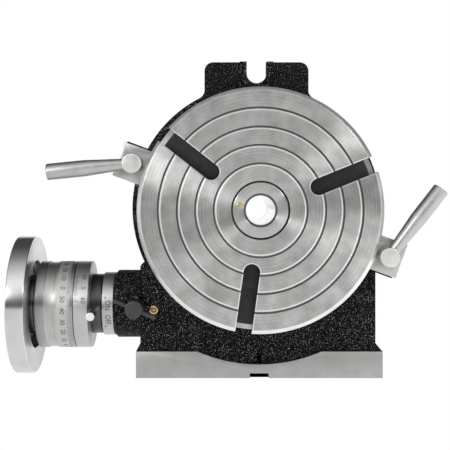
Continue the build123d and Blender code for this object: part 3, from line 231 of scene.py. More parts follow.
def mapped(tree, value, span, onto, curve="LINEAR"):
    """An output with the span from low to high moved onto another span."""
    made = add(tree, "ShaderNodeMapRange", interpolation_type=curve)
    for key, number in zip(("From Min", "From Max", "To Min", "To Max"), (*span, *onto)):
        made.inputs[key].default_value = number
    tree.links.new(value, made.inputs["Value"])
    return made.outputs["Result"]


def worked_out(tree, operation, first, second):
    """One step of arithmetic on two values. Each is a number or the output of a node."""
    made = add(tree, "ShaderNodeMath", operation=operation)
    for entry, value in zip(made.inputs, (first, second)):
        if isinstance(value, (int, float)):
            entry.default_value = value
        else:
            tree.links.new(value, entry)
    return made.outputs["Value"]


def blotches(tree, scale, low, high, detail=4.0, stretch=(1, 1, 1)):
    """Noise on the object's own coordinates, spread between two values."""
    place = add(tree, "ShaderNodeTexCoord")
    mapping = add(tree, "ShaderNodeMapping")
    mapping.inputs["Scale"].default_value = stretch
    tree.links.new(place.outputs["Object"], mapping.inputs["Vector"])
    noise = add(tree, "ShaderNodeTexNoise", Scale=scale, Detail=detail)
    tree.links.new(mapping.outputs["Vector"], noise.inputs["Vector"])
    return mapped(tree, noise.outputs["Fac"], (0.3, 0.7), (low, high))


def axis_distance(tree, axis, centre):
    """The distance from a line along one axis through a centre, in metres."""
    place = add(tree, "ShaderNodeTexCoord")
    shift = add(tree, "ShaderNodeVectorMath", operation="SUBTRACT")
    shift.inputs[1].default_value = [c * MM for c in centre]
    flat = add(tree, "ShaderNodeVectorMath", operation="MULTIPLY")
    flat.inputs[1].default_value = [0.0 if a else 1.0 for a in axis]
    length = add(tree, "ShaderNodeVectorMath", operation="LENGTH")
    tree.links.new(place.outputs["Object"], shift.inputs[0])
    tree.links.new(shift.outputs[0], flat.inputs[0])
    tree.links.new(flat.outputs[0], length.inputs[0])
    return length.outputs["Value"]


def shaded(tree, shader, colour, factor):
    """The colour of a shader, made lighter and darker by a factor that changes over the piece."""
    tint = add(tree, "ShaderNodeVectorMath", operation="SCALE")
    tint.inputs[0].default_value = colour
    tree.links.new(factor, tint.inputs["Scale"])
    tree.links.new(tint.outputs["Vector"], shader.inputs["Base Color"])


def bumped(tree, shader, height, strength, distance):
    """Relief on a shader, from a height between 0 and 1 and a distance in millimetres."""
    bump = add(tree, "ShaderNodeBump", Strength=strength)
    bump.inputs["Distance"].default_value = distance * MM
    tree.links.new(height, bump.inputs["Height"])
    tree.links.new(bump.outputs["Normal"], shader.inputs["Normal"])


def turned_metal(name, colour, roughness, axis, centre, anisotropy, lines=0.05, pitch=0.25, spread=0.1,
                 mottle=0.05):
    """Metal with fine turned lines: rings of noise by the distance from the turning axis."""
    material, tree, shader = node_tree(name)
    shader.inputs["Metallic"].default_value = 1.0
    shader.inputs["Anisotropic"].default_value = anisotropy
    shader.inputs["Anisotropic Rotation"].default_value = 0.25
    rings = add(tree, "ShaderNodeTexNoise", noise_dimensions="1D", Detail=5.0)
    rings.inputs["Scale"].default_value = 1 / (pitch * MM)
    tree.links.new(axis_distance(tree, axis, centre), rings.inputs["W"])
    shade = mapped(tree, rings.outputs["Fac"], (0.3, 0.7), (1 - spread, 1 + spread))
    cloud = blotches(tree, 90.0, 1 - mottle, 1 + mottle, 6.0)
    shaded(tree, shader, colour, worked_out(tree, "MULTIPLY", shade, cloud))
    tree.links.new(blotches(tree, 140.0, roughness * 0.88, roughness * 1.14), shader.inputs["Roughness"])
    bumped(tree, shader, rings.outputs["Fac"], lines, 0.05)
    tangent = add(tree, "ShaderNodeTangent", direction_type="RADIAL", axis="XYZ"[axis.index(1)])
    tree.links.new(tangent.outputs["Tangent"], shader.inputs["Tangent"])
    return material


def plain_metal(name, colour, roughness, spread=0.08, grain=0.02, stretch=(1, 1, 1), scale=900.0):
    """Satin metal with faint grain and slow changes of colour and roughness."""
    material, tree, shader = node_tree(name)
    shader.inputs["Metallic"].default_value = 1.0
    shaded(tree, shader, colour, blotches(tree, 120.0, 1 - spread, 1 + spread))
    tree.links.new(blotches(tree, 300.0, roughness * 0.85, roughness * 1.15), shader.inputs["Roughness"])
    bumped(tree, shader, blotches(tree, scale, 0, 1, 3.0, stretch), grain, 0.1)
    return material


def show(piece, body, slot, material, *stands_for):
    """Gives a piece one material all over, its body and the solids that it stands for.
    Its material slot is not used."""
    piece.data.materials.clear()
    piece.data.materials.append(material)
    piece.data.polygons.foreach_set("material_index", np.zeros(len(piece.data.polygons), np.int32))
    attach(piece, body)
    if stands_for:
        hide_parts(*stands_for)
    return piece


def face_middles(piece):
    """The middle of each face in millimetres, as rows of x, y and z."""
    middles = np.zeros(len(piece.data.polygons) * 3, np.float32)
    piece.data.polygons.foreach_get("center", middles)
    return middles.reshape(-1, 3) / MM


def face_directions(piece):
    """The direction that each face looks in, as rows of x, y and z."""
    directions = np.zeros(len(piece.data.polygons) * 3, np.float32)
    piece.data.polygons.foreach_get("normal", directions)
    return directions.reshape(-1, 3)


def coat(piece, material, chosen):
    """Gives the chosen faces of a piece one more material."""
    index = np.zeros(len(piece.data.polygons), np.int32)
    piece.data.polygons.foreach_get("material_index", index)
    index[chosen] = len(piece.data.materials)
    piece.data.materials.append(material)
    piece.data.polygons.foreach_set("material_index", index)


table_outline = [(0, FACE_OPENING_RADIUS), (0, FACE_RADIUS)]
table_outline += stacked(
    TABLE_RADIUS - FACE_RADIUS,
    (RIM_GROOVE_FRONT, TABLE_RADIUS),
    (RIM_GROOVE_BACK, RIM_GROOVE_RADIUS),
    (TABLE_BACK, SCALE_RADIUS),
    (HUB_BACK, HUB_RADIUS),
    (WHEEL_SEAT_BACK, WHEEL_SEAT_RADIUS),
    (JOURNAL_BACK, JOURNAL_RADIUS),
    hole=TABLE_BORE,
)[1:]
table_outline += [(FACE_OPENING_DEPTH, TABLE_BORE), (FACE_OPENING_DEPTH, FACE_OPENING_RADIUS)]
turned_outline = grooved(rounded(table_outline, 0.25), GROOVES, GROOVE_HALF_WIDTH, GROOVE_DEPTH)
table = turned("table_disc", turned_outline, ORIGIN, Y_AXIS, turns=256)
for angle in SLOT_ANGLES:
    cut_out(table, slot_cutter(angle))
smooth_shaded(table.data, 25)
turned_iron = turned_metal(
    "turned_iron",
    (0.54, 0.54, 0.53),
    0.34,
    Y_AXIS,
    ORIGIN,
    0.92,
    lines=0.1,
    pitch=0.5,
    spread=0.2,
    mottle=0.22,
)
# The walls and floors of the T-slots are painted near black, as painted shade.
slot_shade_iron = plain_metal("slot_shade_iron", (0.08, 0.08, 0.08), 0.5)
# The bottoms of the ring grooves are painted dark grey, as painted shade.
groove_shade_iron = plain_metal("groove_shade_iron", (0.17, 0.17, 0.17), 0.5)
# The front edges, the rim's chamfer and the lips of the grooves and slots are painted bright, as a
# painted highlight.
edge_highlight_iron = plain_metal("edge_highlight_iron", (0.86, 0.86, 0.85), 0.35, spread=0.06, grain=0.004)
show(table, "table", "turned_iron", turned_iron, "table", "table_hub")
middles = face_middles(table)
depth = middles[:, 1]
reach = np.hypot(middles[:, 0], middles[:, 2])
shaded_hollows = (depth > SLOT_EDGE_DEPTH + 0.02) & (depth < SLOT_DEPTH + 0.1)
shaded_hollows &= (reach > FACE_OPENING_RADIUS + 2.1) & (reach < RIM_GROOVE_RADIUS - 0.5)
to_groove = np.abs(reach[:, None] - np.array(GROOVES)).min(axis=1)
level = face_directions(table)[:, 1] < -0.92
# Painted shade: the T-slots' walls and floors.
coat(table, slot_shade_iron, shaded_hollows)
# Painted shade: the bottoms of the ring grooves.
coat(table, groove_shade_iron, shaded_hollows & (depth < GROOVE_DEPTH + 0.05) & (to_groove < GROOVE_HALF_WIDTH))
# Painted highlight: the front edges, the rim's chamfer and the lips of the grooves and slots.
coat(table, edge_highlight_iron, (depth < TABLE_RADIUS - FACE_RADIUS + 0.1) & ~shaded_hollows & ~level)


# Centre sleeve
# A steel sleeve, bored to a taper, whose head lies inside the table with a gap round it.
# Its mouth is chamfered, and a brass ball oiler is pressed into its face.

SLEEVE_FRONT, SLEEVE_CHAMFER = 0.4, 0.5
SLEEVE_HEAD_RADIUS, SLEEVE_HEAD_BACK = 16.9, 10.0
SLEEVE_RADIUS, SLEEVE_SHOULDER = 13.0, 77.0
SLEEVE_TAIL_RADIUS, SLEEVE_BACK = 11.0, 86.5
TAPER_END_RADIUS, TAPER_END = 7.291, 64.4
TAPER_MOUTH_RADIUS, MOUTH_CHAMFER = 8.89, 1.5
sleeve_outline = [(SLEEVE_FRONT, SLEEVE_HEAD_RADIUS - SLEEVE_CHAMFER)]
sleeve_outline += stacked(
    SLEEVE_FRONT + SLEEVE_CHAMFER,
    (SLEEVE_HEAD_BACK, SLEEVE_HEAD_RADIUS),
    (SLEEVE_SHOULDER, SLEEVE_RADIUS),
    (SLEEVE_BACK, SLEEVE_TAIL_RADIUS),
    hole=TAPER_END_RADIUS,
)[1:]
sleeve_outline += [(TAPER_END, TAPER_END_RADIUS), (SLEEVE_FRONT + MOUTH_CHAMFER, TAPER_MOUTH_RADIUS)]
sleeve_outline += [(SLEEVE_FRONT, TAPER_MOUTH_RADIUS + MOUTH_CHAMFER)]
sleeve = turned("sleeve", rounded(sleeve_outline, 0.2), ORIGIN, Y_AXIS)
sleeve_steel = turned_metal(
    "sleeve_steel", (0.62, 0.62, 0.61), 0.3, Y_AXIS, ORIGIN, 0.93, lines=0.02, pitch=0.9, spread=0.05
)
bore_steel = plain_metal("bore_steel", (0.88, 0.88, 0.87), 0.12)
# The chamfer of the bore's mouth is painted near black, as painted shade.
mouth_shade_steel = plain_metal("mouth_shade_steel", (0.16, 0.16, 0.16), 0.4)
show(sleeve, "body", "satin_steel", sleeve_steel, "centre_sleeve")
middles = face_middles(sleeve)
depth = middles[:, 1]
reach = np.hypot(middles[:, 0], middles[:, 2])
taper_start = SLEEVE_FRONT + MOUTH_CHAMFER
in_bore = (depth > taper_start - 0.2) & (reach < TAPER_MOUTH_RADIUS + 0.06)
shaded_mouth = (depth < taper_start - 0.15) & (reach < TAPER_MOUTH_RADIUS + MOUTH_CHAMFER - 0.04)
coat(sleeve, bore_steel, in_bore)
# Painted shade on the chamfer of the bore's mouth.
coat(sleeve, mouth_shade_steel, shaded_mouth)

brass = plain_metal("brass", (0.72, 0.53, 0.22), 0.25)
ball_steel = plain_metal("ball_steel", (0.5, 0.5, 0.5), 0.15)


def oiler(name, place, rim, cup, hole, proud, length, body, *stands_for):
    """A pressed brass cup: a domed rim round a small mouth."""
    outline = [(-proud, hole), (-proud, rim - 0.5), (-proud + 0.4, rim), (0, rim), (0, cup)]
    outline += [(length - proud, cup), (length - proud, hole + 0.3), (-proud + 0.4, hole + 0.3)]
    piece = turned(name, rounded(outline, 0.3), place, Y_AXIS, turns=48)
    return show(piece, body, "brass", brass, *stands_for)


def finish_solid(name, material):
    """Gives a finish to a solid that is shown as it is."""
    nodes[name].data.materials.clear()
    nodes[name].data.materials.append(material)


OILER_CIRCLE, OILER_TURN = 12.9, math.radians(166.5)
CENTRE_OILER = (OILER_CIRCLE * math.cos(OILER_TURN), SLEEVE_FRONT, OILER_CIRCLE * math.sin(OILER_TURN))
FRONT_OILER = (-66.5, 27.5, -63.3)
oiler("centre_oiler_cup", CENTRE_OILER, 2.0, 1.7, 0.8, 0.3, 5.0, "body", "centre_oiler")
oiler("front_oiler_cup", FRONT_OILER, 2.9, 2.5, 1.2, 1.1, 4.6, "body", "front_oiler")
for ball in ("front_oiler_ball", "centre_oiler_ball"):
    finish_solid(ball, ball_steel)


# Casting
# One iron casting with black wrinkle paint. Its toe, foot and back are milled bare.
# The edges are eased as a foundry leaves them.

wrinkle, tree, shader = node_tree("wrinkle_paint")
shader.inputs["Metallic"].default_value = 0.0
shader.inputs["Specular IOR Level"].default_value = 0.08
place = add(tree, "ShaderNodeTexCoord")
cells = add(tree, "ShaderNodeTexNoise", Scale=700.0, Detail=3.0, Roughness=0.6)
tree.links.new(place.outputs["Object"], cells.inputs["Vector"])
speckle = add(tree, "ShaderNodeTexNoise", Scale=1500.0, Detail=4.0, Roughness=0.7)
tree.links.new(place.outputs["Object"], speckle.inputs["Vector"])
paint = add(tree, "ShaderNodeMix", data_type="RGBA")
paint.inputs["A"].default_value = (0.001, 0.001, 0.001, 1)
paint.inputs["B"].default_value = (0.6, 0.6, 0.59, 1)
tree.links.new(mapped(tree, speckle.outputs["Fac"], (0.575, 0.70), (0.0, 1.0)), paint.inputs["Factor"])
tree.links.new(paint.outputs["Result"], shader.inputs["Base Color"])
tree.links.new(blotches(tree, 500.0, 0.4, 0.6), shader.inputs["Roughness"])
bumped(tree, shader, cells.outputs["Fac"], 0.6, 0.5)
milled = plain_metal(
    "milled_iron", (0.42, 0.42, 0.41), 0.45, spread=0.06, grain=0.03, stretch=(1, 1, 14), scale=500.0
)


def eased_copy(node, name, width):
    """A copy of a solid's mesh with its doubles merged, its flat faces joined and its edges rounded.
    The joined faces are shaded flat and the others smooth."""
    mesh = nodes[node].data.copy()
    built = bmesh.new()
    built.from_mesh(mesh)
    bmesh.ops.remove_doubles(built, verts=built.verts, dist=1e-6)
    edges = built.edges
    bmesh.ops.dissolve_limit(built, angle_limit=math.radians(0.5), verts=built.verts, edges=edges)
    built.to_mesh(mesh)
    built.free()
    piece = new_piece(name, mesh)
    bevel = piece.modifiers.new("ease", "BEVEL")
    bevel.width = width * MM
    bevel.segments = 2
    bevel.limit_method = "ANGLE"
    bevel.angle_limit = math.radians(40)
    bevel.use_clamp_overlap = True
    bpy.context.view_layer.update()
    apply_modifiers(piece)
    sides = np.zeros(len(piece.data.polygons), np.int32)
    piece.data.polygons.foreach_get("loop_total", sides)
    piece.data.polygons.foreach_set("use_smooth", sides < 5)
    piece.data.set_sharp_from_angle(angle=math.radians(32))
    return piece


TOE_FRONT = 22.5
FOOT_BOTTOM = -105.5
FOOT_TOP = -88.9
FOOT_HALF_LENGTH = 77.3
BODY_BACK = 87.0
casting = eased_copy("body_casting", "casting", 0.9)
show(casting, "body", "black_paint", wrinkle, "body_casting")
x, y, z = face_middles(casting).T
directions = face_directions(casting)
in_foot = z < FOOT_TOP + 0.1
toe = in_foot & (y < TOE_FRONT + 0.3) & (directions[:, 1] < -0.8)
sole = (z < FOOT_BOTTOM + 0.3) & (directions[:, 2] < -0.8)
back = (y > BODY_BACK - 0.3) & (directions[:, 1] > 0.8)
ends = in_foot & (np.abs(x) > FOOT_HALF_LENGTH - 0.3)
coat(casting, milled, toe | sole | back | ends)


# Table clamps
# Each clamp is a steel plate that reaches into the table's rim groove, a cross-drilled bolt and
# a bright round handle screwed into the bolt's head.

CLAMP_CIRCLE = 82.8
# Each clamp's place round the table, and where its handle points, in degrees
CLAMPS = {"left": (160.0, 185.7), "right": (-20.0, 52.2)}
HEAD_FRONT, HEAD_BACK, HEAD_RADIUS = -3.0, 11.7, 5.9
STUD_BACK, STUD_RADIUS = 36.8, 4.0
HANDLE_DEPTH = 4.0
HANDLE_START, HANDLE_NECK_RADIUS = 4.6, 3.4
HANDLE_TAPER_START, HANDLE_TAPER_RADIUS = 6.0, 3.5
HANDLE_TAPER_END, HANDLE_END, HANDLE_RADIUS = 29.0, 52.0, 5.0
clamp_steel = plain_metal("clamp_steel", (0.54, 0.54, 0.53), 0.40, spread=0.06, grain=0.004)
head_steel = plain_metal("head_steel", (0.74, 0.74, 0.73), 0.45, spread=0.06, grain=0.004)
bolt_outline = rounded(stacked(HEAD_FRONT, (HEAD_BACK, HEAD_RADIUS), (STUD_BACK, STUD_RADIUS)), 0.7)
grip = [(HANDLE_START, -2), (HANDLE_START, HANDLE_NECK_RADIUS)]
grip += [(HANDLE_TAPER_START, HANDLE_TAPER_RADIUS), (HANDLE_TAPER_END, HANDLE_RADIUS)]
grip += [(HANDLE_END, HANDLE_RADIUS), (HANDLE_END, -2)]
for side, (place_angle, handle_angle) in CLAMPS.items():
    turn, lean = math.radians(place_angle), math.radians(handle_angle)
    x, z = CLAMP_CIRCLE * math.cos(turn), CLAMP_CIRCLE * math.sin(turn)
    plate = eased_copy(f"{side}_clamp_plate", f"{side}_clamp_bar", 0.5)
    show(plate, f"{side}_plate", "satin_steel", clamp_steel, f"{side}_clamp_plate")
    bolt = turned(f"{side}_clamp_stud", bolt_outline, (x, 0, z), Y_AXIS, turns=64)
    show(bolt, f"{side}_bolt", "satin_steel", head_steel, f"{side}_clamp_bolt")
    direction = (math.cos(lean), 0, math.sin(lean))
    start = (x, HANDLE_DEPTH, z)
    handle = turned(f"{side}_clamp_handle", rounded(grip, 0.8), start, direction, turns=64)
    show(handle, f"{side}_bolt", "satin_steel", clamp_steel, f"{side}_clamp_lever")


# Handwheel
# A polished steel wheel with a broad rim, a recess round its hub, and a nut and washer outside.
# Its outer face has the threaded hole for a crank handle.

WORM = (0, 42.5, -61.25)
WHEEL_LEFT, WHEEL_RIGHT, WHEEL_RADIUS = -154.3, -142.9, 43.9
WEB_RIGHT, RIM_INNER_RADIUS = -147.7, 28.0
WASHER_SEAT, WASHER_SEAT_RADIUS = -150.8, 13.0
WHEEL_HUB_RADIUS, WHEEL_HUB_RIGHT, WHEEL_BORE = 18.6, -139.8, 6.0
HUB_LINE_LEFT, HUB_LINE_RIGHT, HUB_LINE_RADIUS = -142.3, -141.3, 17.6
CRANK_CIRCLE, CRANK_HOLE_RADIUS, CRANK_HOLE_END = 36.0, 3.4, -145.3
wheel_outline = [(WASHER_SEAT, WHEEL_BORE), (WASHER_SEAT, WASHER_SEAT_RADIUS)]
wheel_outline += stacked(
    WHEEL_LEFT,
    (WHEEL_RIGHT, WHEEL_RADIUS),
    hole=WASHER_SEAT_RADIUS,
)[:-1]
wheel_outline += [(WHEEL_RIGHT, RIM_INNER_RADIUS), (WEB_RIGHT, RIM_INNER_RADIUS)]
wheel_outline += stacked(
    WEB_RIGHT,
    (HUB_LINE_LEFT, WHEEL_HUB_RADIUS),
    (HUB_LINE_RIGHT, HUB_LINE_RADIUS),
    (WHEEL_HUB_RIGHT, WHEEL_HUB_RADIUS),
    hole=WHEEL_BORE,
)[1:]
wheel = turned("wheel", rounded(wheel_outline, 1.0, 5), WORM, X_AXIS, turns=224)
hole_outline = [(WHEEL_LEFT - 1.7, CRANK_HOLE_RADIUS + 1.0), (WHEEL_LEFT, CRANK_HOLE_RADIUS + 0.6)]
hole_outline += [(WHEEL_LEFT + 0.6, CRANK_HOLE_RADIUS), (CRANK_HOLE_END, CRANK_HOLE_RADIUS)]
hole_outline += [(CRANK_HOLE_END + CRANK_HOLE_RADIUS / 2, 0), (WHEEL_LEFT - 1.7, 0)]
CRANK_HOLE = (0, WORM[1], WORM[2] + CRANK_CIRCLE)
cut_out(wheel, turned("cutter", hole_outline, CRANK_HOLE, X_AXIS, turns=48))
smooth_shaded(wheel.data, 20)
wheel_steel = turned_metal(
    "wheel_steel", (0.76, 0.76, 0.76), 0.18, X_AXIS, WORM, 0.6, lines=0.02, pitch=0.6, spread=0.06
)
wheel_face = turned_metal(
    "wheel_face", (0.60, 0.60, 0.60), 0.3, X_AXIS, WORM, 0.6, lines=0.02, pitch=0.6, spread=0.06
)
# The recess round the hub gets a darker copy of the wheel's steel, as painted shade.
wheel_recess_shade = turned_metal(
    "wheel_recess_shade", (0.28, 0.28, 0.28), 0.25, X_AXIS, WORM, 0.6, lines=0.02, pitch=0.6, spread=0.1
)
show(wheel, "worm", "polished_steel", wheel_steel, "handwheel")
x, y, z = face_middles(wheel).T
reach = np.hypot(y - WORM[1], z - WORM[2])
on_face = (reach > RIM_INNER_RADIUS) & (reach < WHEEL_RADIUS - 0.9)
coat(wheel, wheel_face, (x > WHEEL_RIGHT - 0.5) & on_face)
# Painted shade in the recess round the hub.
coat(wheel, wheel_recess_shade, (x > WEB_RIGHT - 0.5) & (reach < RIM_INNER_RADIUS))


# Dial and vernier
# A satin chrome dial with a flange, a shallow neck and a graduated band, beside a fixed vernier
# ring. Numbers and lines are engraved and filled black.

DIAL_RADIUS = 27.6
DIAL_LEFT, FLANGE_RIGHT = -139.5, -133.9
NECK_RADIUS, NECK_RIGHT = 27.0, -127.9
BAND_LEFT, BAND_RIGHT, DIAL_RIGHT = -126.3, -118.3, -116.0
DIAL_BORE, DIAL_WEB_RIGHT, DIAL_HOLLOW_RADIUS = 12.03, -133.5, 24.1
VERNIER_LEFT, VERNIER_RIGHT, VERNIER_BORE = -115.7, -106.7, 12.0
# Zero stands this many radians above the front
DIAL_ZERO = 0.475
DIAL_LINES, DIAL_FIGURES = 240, 24
VERNIER_STEP = math.radians(1.48)
# The outer figures of the vernier stand this share of the way out to their lines
VERNIER_FIGURES_OUT = 0.93
LINE_END_GAP = 0.1
dial_outline = stacked(
    DIAL_LEFT,
    (FLANGE_RIGHT, DIAL_RADIUS),
    (NECK_RIGHT, NECK_RADIUS),
    hole=DIAL_BORE,
)[:-1]
dial_outline += [(edge, DIAL_RADIUS) for edge in (NECK_RIGHT, BAND_LEFT, BAND_RIGHT, DIAL_RIGHT)]
dial_outline += [(DIAL_RIGHT, DIAL_HOLLOW_RADIUS), (DIAL_WEB_RIGHT, DIAL_HOLLOW_RADIUS)]
dial_outline += [(DIAL_WEB_RIGHT, DIAL_BORE)]
dial = turned("dial_body", rounded(dial_outline, 0.4), WORM, X_AXIS, turns=192)
satin_chrome = turned_metal(
    "satin_chrome", (0.58, 0.58, 0.57), 0.44, X_AXIS, WORM, 0.5, lines=0.02, pitch=0.6, spread=0.05
)
frosted = turned_metal(
    "frosted_chrome", (0.62, 0.62, 0.61), 0.6, X_AXIS, WORM, 0.2, lines=0.01, pitch=0.8, spread=0.03
)
dark_chrome = turned_metal(
    "dark_chrome", (0.42, 0.42, 0.42), 0.34, X_AXIS, WORM, 0.5, lines=0.02, pitch=0.6, spread=0.06
)
show(dial, "dial", "satin_chrome", satin_chrome, "dial")
along = face_middles(dial)[:, 0]
coat(dial, frosted, (along > BAND_LEFT) & (along < BAND_RIGHT))
coat(dial, dark_chrome, (along > BAND_RIGHT) | (along < FLANGE_RIGHT - 0.1))
vernier_outline = stacked(VERNIER_LEFT, (VERNIER_RIGHT, DIAL_RADIUS), hole=VERNIER_BORE)
vernier = turned("vernier_body", rounded(vernier_outline, 0.4), WORM, X_AXIS, turns=192)
show(vernier, "eccentric", "satin_chrome", satin_chrome, "vernier_ring")

ink, tree, shader = node_tree("ink")
shader.inputs["Base Color"].default_value = (0.03, 0.03, 0.03, 1)
tree.links.new(blotches(tree, 900.0, 0.45, 0.7), shader.inputs["Roughness"])


def wrapped(name, flat, radius, centre, body, slot="satin_chrome", upright=False, proud=0.03):
    """Flat marks laid on a drum and a little proud of it: (along, across) goes to along the axis
    and across / radius round it. An upright drum has the table's axis, Y, instead of X, and its
    along is the depth behind the face."""
    points, faces = flat
    turn = points[:, 1] / radius
    near = (radius + proud) * np.cos(turn)
    z = centre[2] + (radius + proud) * np.sin(turn)
    drum = [near, points[:, 0], z] if upright else [points[:, 0], centre[1] - near, z]
    mesh = bpy.data.meshes.new(name)
    mesh.from_pydata((np.stack(drum, axis=-1) * MM).tolist(), [], faces)
    return show(new_piece(name, mesh), body, slot, ink)


def bars(starts, stops, places, width):
    """Short bars as quads, with the corners (start or stop, place - or + half the width)."""
    starts, stops = np.broadcast_to(starts, places.shape), np.broadcast_to(stops, places.shape)
    low, high = places - width / 2, places + width / 2
    corners = [(starts, low), (stops, low), (stops, high), (starts, high)]
    points = np.stack([np.stack(corner, -1) for corner in corners], axis=1).reshape(-1, 2)
    return points, np.arange(len(points)).reshape(-1, 4).tolist()


def line_lengths(numbers, long_every, middle_every, lengths):
    """The length of each numbered line: every so many long, every so many middling, the rest short."""
    longest, middling, short = lengths
    others = np.where(numbers % middle_every == 0, middling, short)
    return np.where(numbers % long_every == 0, longest, others)


def lettering(text, size, along, across, quarter_turns=1, squeeze=1.0):
    """A word as flat faces, squeezed in width, turned by quarter turns and centred on its place."""
    curve = bpy.data.curves.new("word", "FONT")
    curve.body = text
    curve.size = size
    curve.align_x = "CENTER"
    curve.align_y = "CENTER"
    curve.resolution_u = 3
    word = new_piece("word", curve)
    bpy.context.view_layer.update()
    graph = bpy.context.evaluated_depsgraph_get()
    mesh = bpy.data.meshes.new_from_object(word.evaluated_get(graph))
    flat = np.zeros(len(mesh.vertices) * 3, np.float32)
    mesh.vertices.foreach_get("co", flat)
    flat = flat.reshape(-1, 3)[:, :2].astype(float) * (squeeze, 1)
    faces = [list(p.vertices) for p in mesh.polygons]
    bpy.data.objects.remove(word)
    bpy.data.meshes.remove(mesh)
    turn = math.radians(90 * quarter_turns)
    spun = np.array([[math.cos(turn), math.sin(turn)], [-math.sin(turn), math.cos(turn)]])
    return flat @ spun + (along, across), faces


def gathered(parts):
    """Several flat meshes as one."""
    points, faces, start = [], [], 0
    for part_points, part_faces in parts:
        points.append(part_points)
        faces += [[i + start for i in face] for face in part_faces]
        start += len(part_points)
    return np.concatenate(points), faces


numbers = np.arange(DIAL_LINES)
lengths = line_lengths(numbers, 10, 5, (2.2, 1.7, 1.1))
places = (numbers * 2 * math.pi / DIAL_LINES + DIAL_ZERO) * DIAL_RADIUS
line_end = BAND_RIGHT - LINE_END_GAP
dial_marks = [bars(line_end - lengths, line_end, places, width=0.16)]
for index in range(DIAL_FIGURES):
    where = (index * 2 * math.pi / DIAL_FIGURES + DIAL_ZERO) * DIAL_RADIUS
    label = str((index % 6) * 10)
    dial_marks.append(lettering(label, 4.2, line_end - 4.1, where, quarter_turns=3))
wrapped("dial_marks", gathered(dial_marks), DIAL_RADIUS, WORM, "dial")
numbers = np.arange(-12, 13)
lengths = line_lengths(numbers, 12, 6, (3.2, 2.6, 1.9))
places = (numbers * VERNIER_STEP + DIAL_ZERO) * DIAL_RADIUS
line_start = VERNIER_LEFT + 0.4
vernier_marks = [bars(line_start, line_start + lengths, places, width=0.18)]
for number, label in ((-12, "60"), (0, "0"), (12, "60")):
    where = (number * VERNIER_STEP * VERNIER_FIGURES_OUT + DIAL_ZERO) * DIAL_RADIUS
    vernier_marks.append(lettering(label, 4.0, line_start + 5.7, where, quarter_turns=3))
wrapped("vernier_marks", gathered(vernier_marks), DIAL_RADIUS, WORM, "eccentric")


# Degree scale
# The table's degrees are engraved on its rim behind the clamp groove, and filled black.
# Every tenth degree has its number.

degrees = np.arange(360)
lengths = line_lengths(degrees, 10, 5, (2.8, 2.2, 1.5))
places = np.radians(degrees) * SCALE_RADIUS
line_end = TABLE_BACK - 0.4
rim_marks = [bars(line_end - lengths, line_end, places, width=0.16)]
for value in degrees[::10]:
    rim_marks.append(lettering(str(value), 2.2, RIM_GROOVE_BACK + 1.7, places[value]))
wrapped("rim_marks", gathered(rim_marks), SCALE_RADIUS, ORIGIN, "table", "turned_iron", upright=True)


# Sleeve, its lever and the switch ring
# A blackened steel sleeve turns in the boss to swing the worm out of mesh. A bright pin turns it,
# and a fixed bright ring beside it is marked ON and OFF.

SLEEVE_AXIS = (0, 45.8, -61.25)
NOSE_RADIUS, NOSE_BORE = 12.0, 6.6
COLLAR_RADIUS, COLLAR_RIGHT = 19.1, -99.9
RING_LEFT, RING_RIGHT, RING_RADIUS, RING_BORE = -99.3, -92.2, 20.2, 14.3
PIN_FRONT, PIN_NECK, PIN_BACK = -9.0, 26.2, 30.6
PIN_RADIUS, PIN_NECK_RADIUS = 2.6, 2.0
PIN_TIP = np.array((-101.6, PIN_FRONT, -63.1))
PIN_ROOT = np.array((-102.4, 30.6, -61.25))
blackened = turned_metal(
    "blackened_steel", (0.11, 0.11, 0.112), 0.36, X_AXIS, SLEEVE_AXIS, 0.4, lines=0.02, pitch=0.8
)
collar_outline = stacked(
    VERNIER_LEFT,
    (VERNIER_RIGHT, NOSE_RADIUS),
    (COLLAR_RIGHT, COLLAR_RADIUS),
    hole=NOSE_BORE,
)
# The bore and the nose are round the worm's axis and the collar is round the sleeve's
corner_axes = [WORM, WORM, WORM, SLEEVE_AXIS, SLEEVE_AXIS, WORM]
corner_steps = 4
collar_axes = np.repeat(corner_axes, corner_steps, axis=0)
rounded_collar = rounded(collar_outline, 0.5, corner_steps)
collar = turned("sleeve_collar", rounded_collar, collar_axes, X_AXIS, turns=128)
show(collar, "eccentric", "black_oxide", blackened, "sleeve_nose")
finish_solid("eccentric_sleeve", blackened)
ring_outline = stacked(RING_LEFT, (RING_RIGHT, RING_RADIUS), hole=RING_BORE)
switch_ring = turned("switch_band", rounded(ring_outline, 0.4), SLEEVE_AXIS, X_AXIS, turns=128)
show(switch_ring, "body", "satin_chrome", satin_chrome, "switch_ring")
# Each word or arrow has its size, its place along the ring and its place round it
switch_words = [
    lettering("ON", 5.2, -95.6, 0.9, 3, 0.78),
    lettering("OFF", 5.2, -95.6, -8.8, 3, 0.78),
    lettering("←", 3.2, -97.2, 5.4, 3),
    lettering("→", 3.2, -97.2, -13.6, 3),
]
wrapped("switch_words", gathered(switch_words), RING_RADIUS, SLEEVE_AXIS, "body")
pin_steel = plain_metal("pin_steel", (0.9, 0.9, 0.9), 0.55)
pin_line = (PIN_ROOT - PIN_TIP) / np.linalg.norm(PIN_ROOT - PIN_TIP)
pin_outline = rounded(stacked(PIN_FRONT, (PIN_NECK, PIN_RADIUS), (PIN_BACK, PIN_NECK_RADIUS)), 0.8)
pin = turned("lever_pin", pin_outline, PIN_TIP - PIN_FRONT * pin_line, pin_line, turns=48)
show(pin, "eccentric", "satin_steel", pin_steel, "sleeve_lever")
# Behind its bright tip the pin's shank is painted in the blackened steel, as painted shade where it lies
# in shadow.
coat(pin, blackened, face_middles(pin)[:, 1] > PIN_FRONT + 0.8)


# Sleeve lock
# A blackened steel screw with a round head, which clamps the sleeve in its boss.
# A loose bar with thickened ends goes through the head.

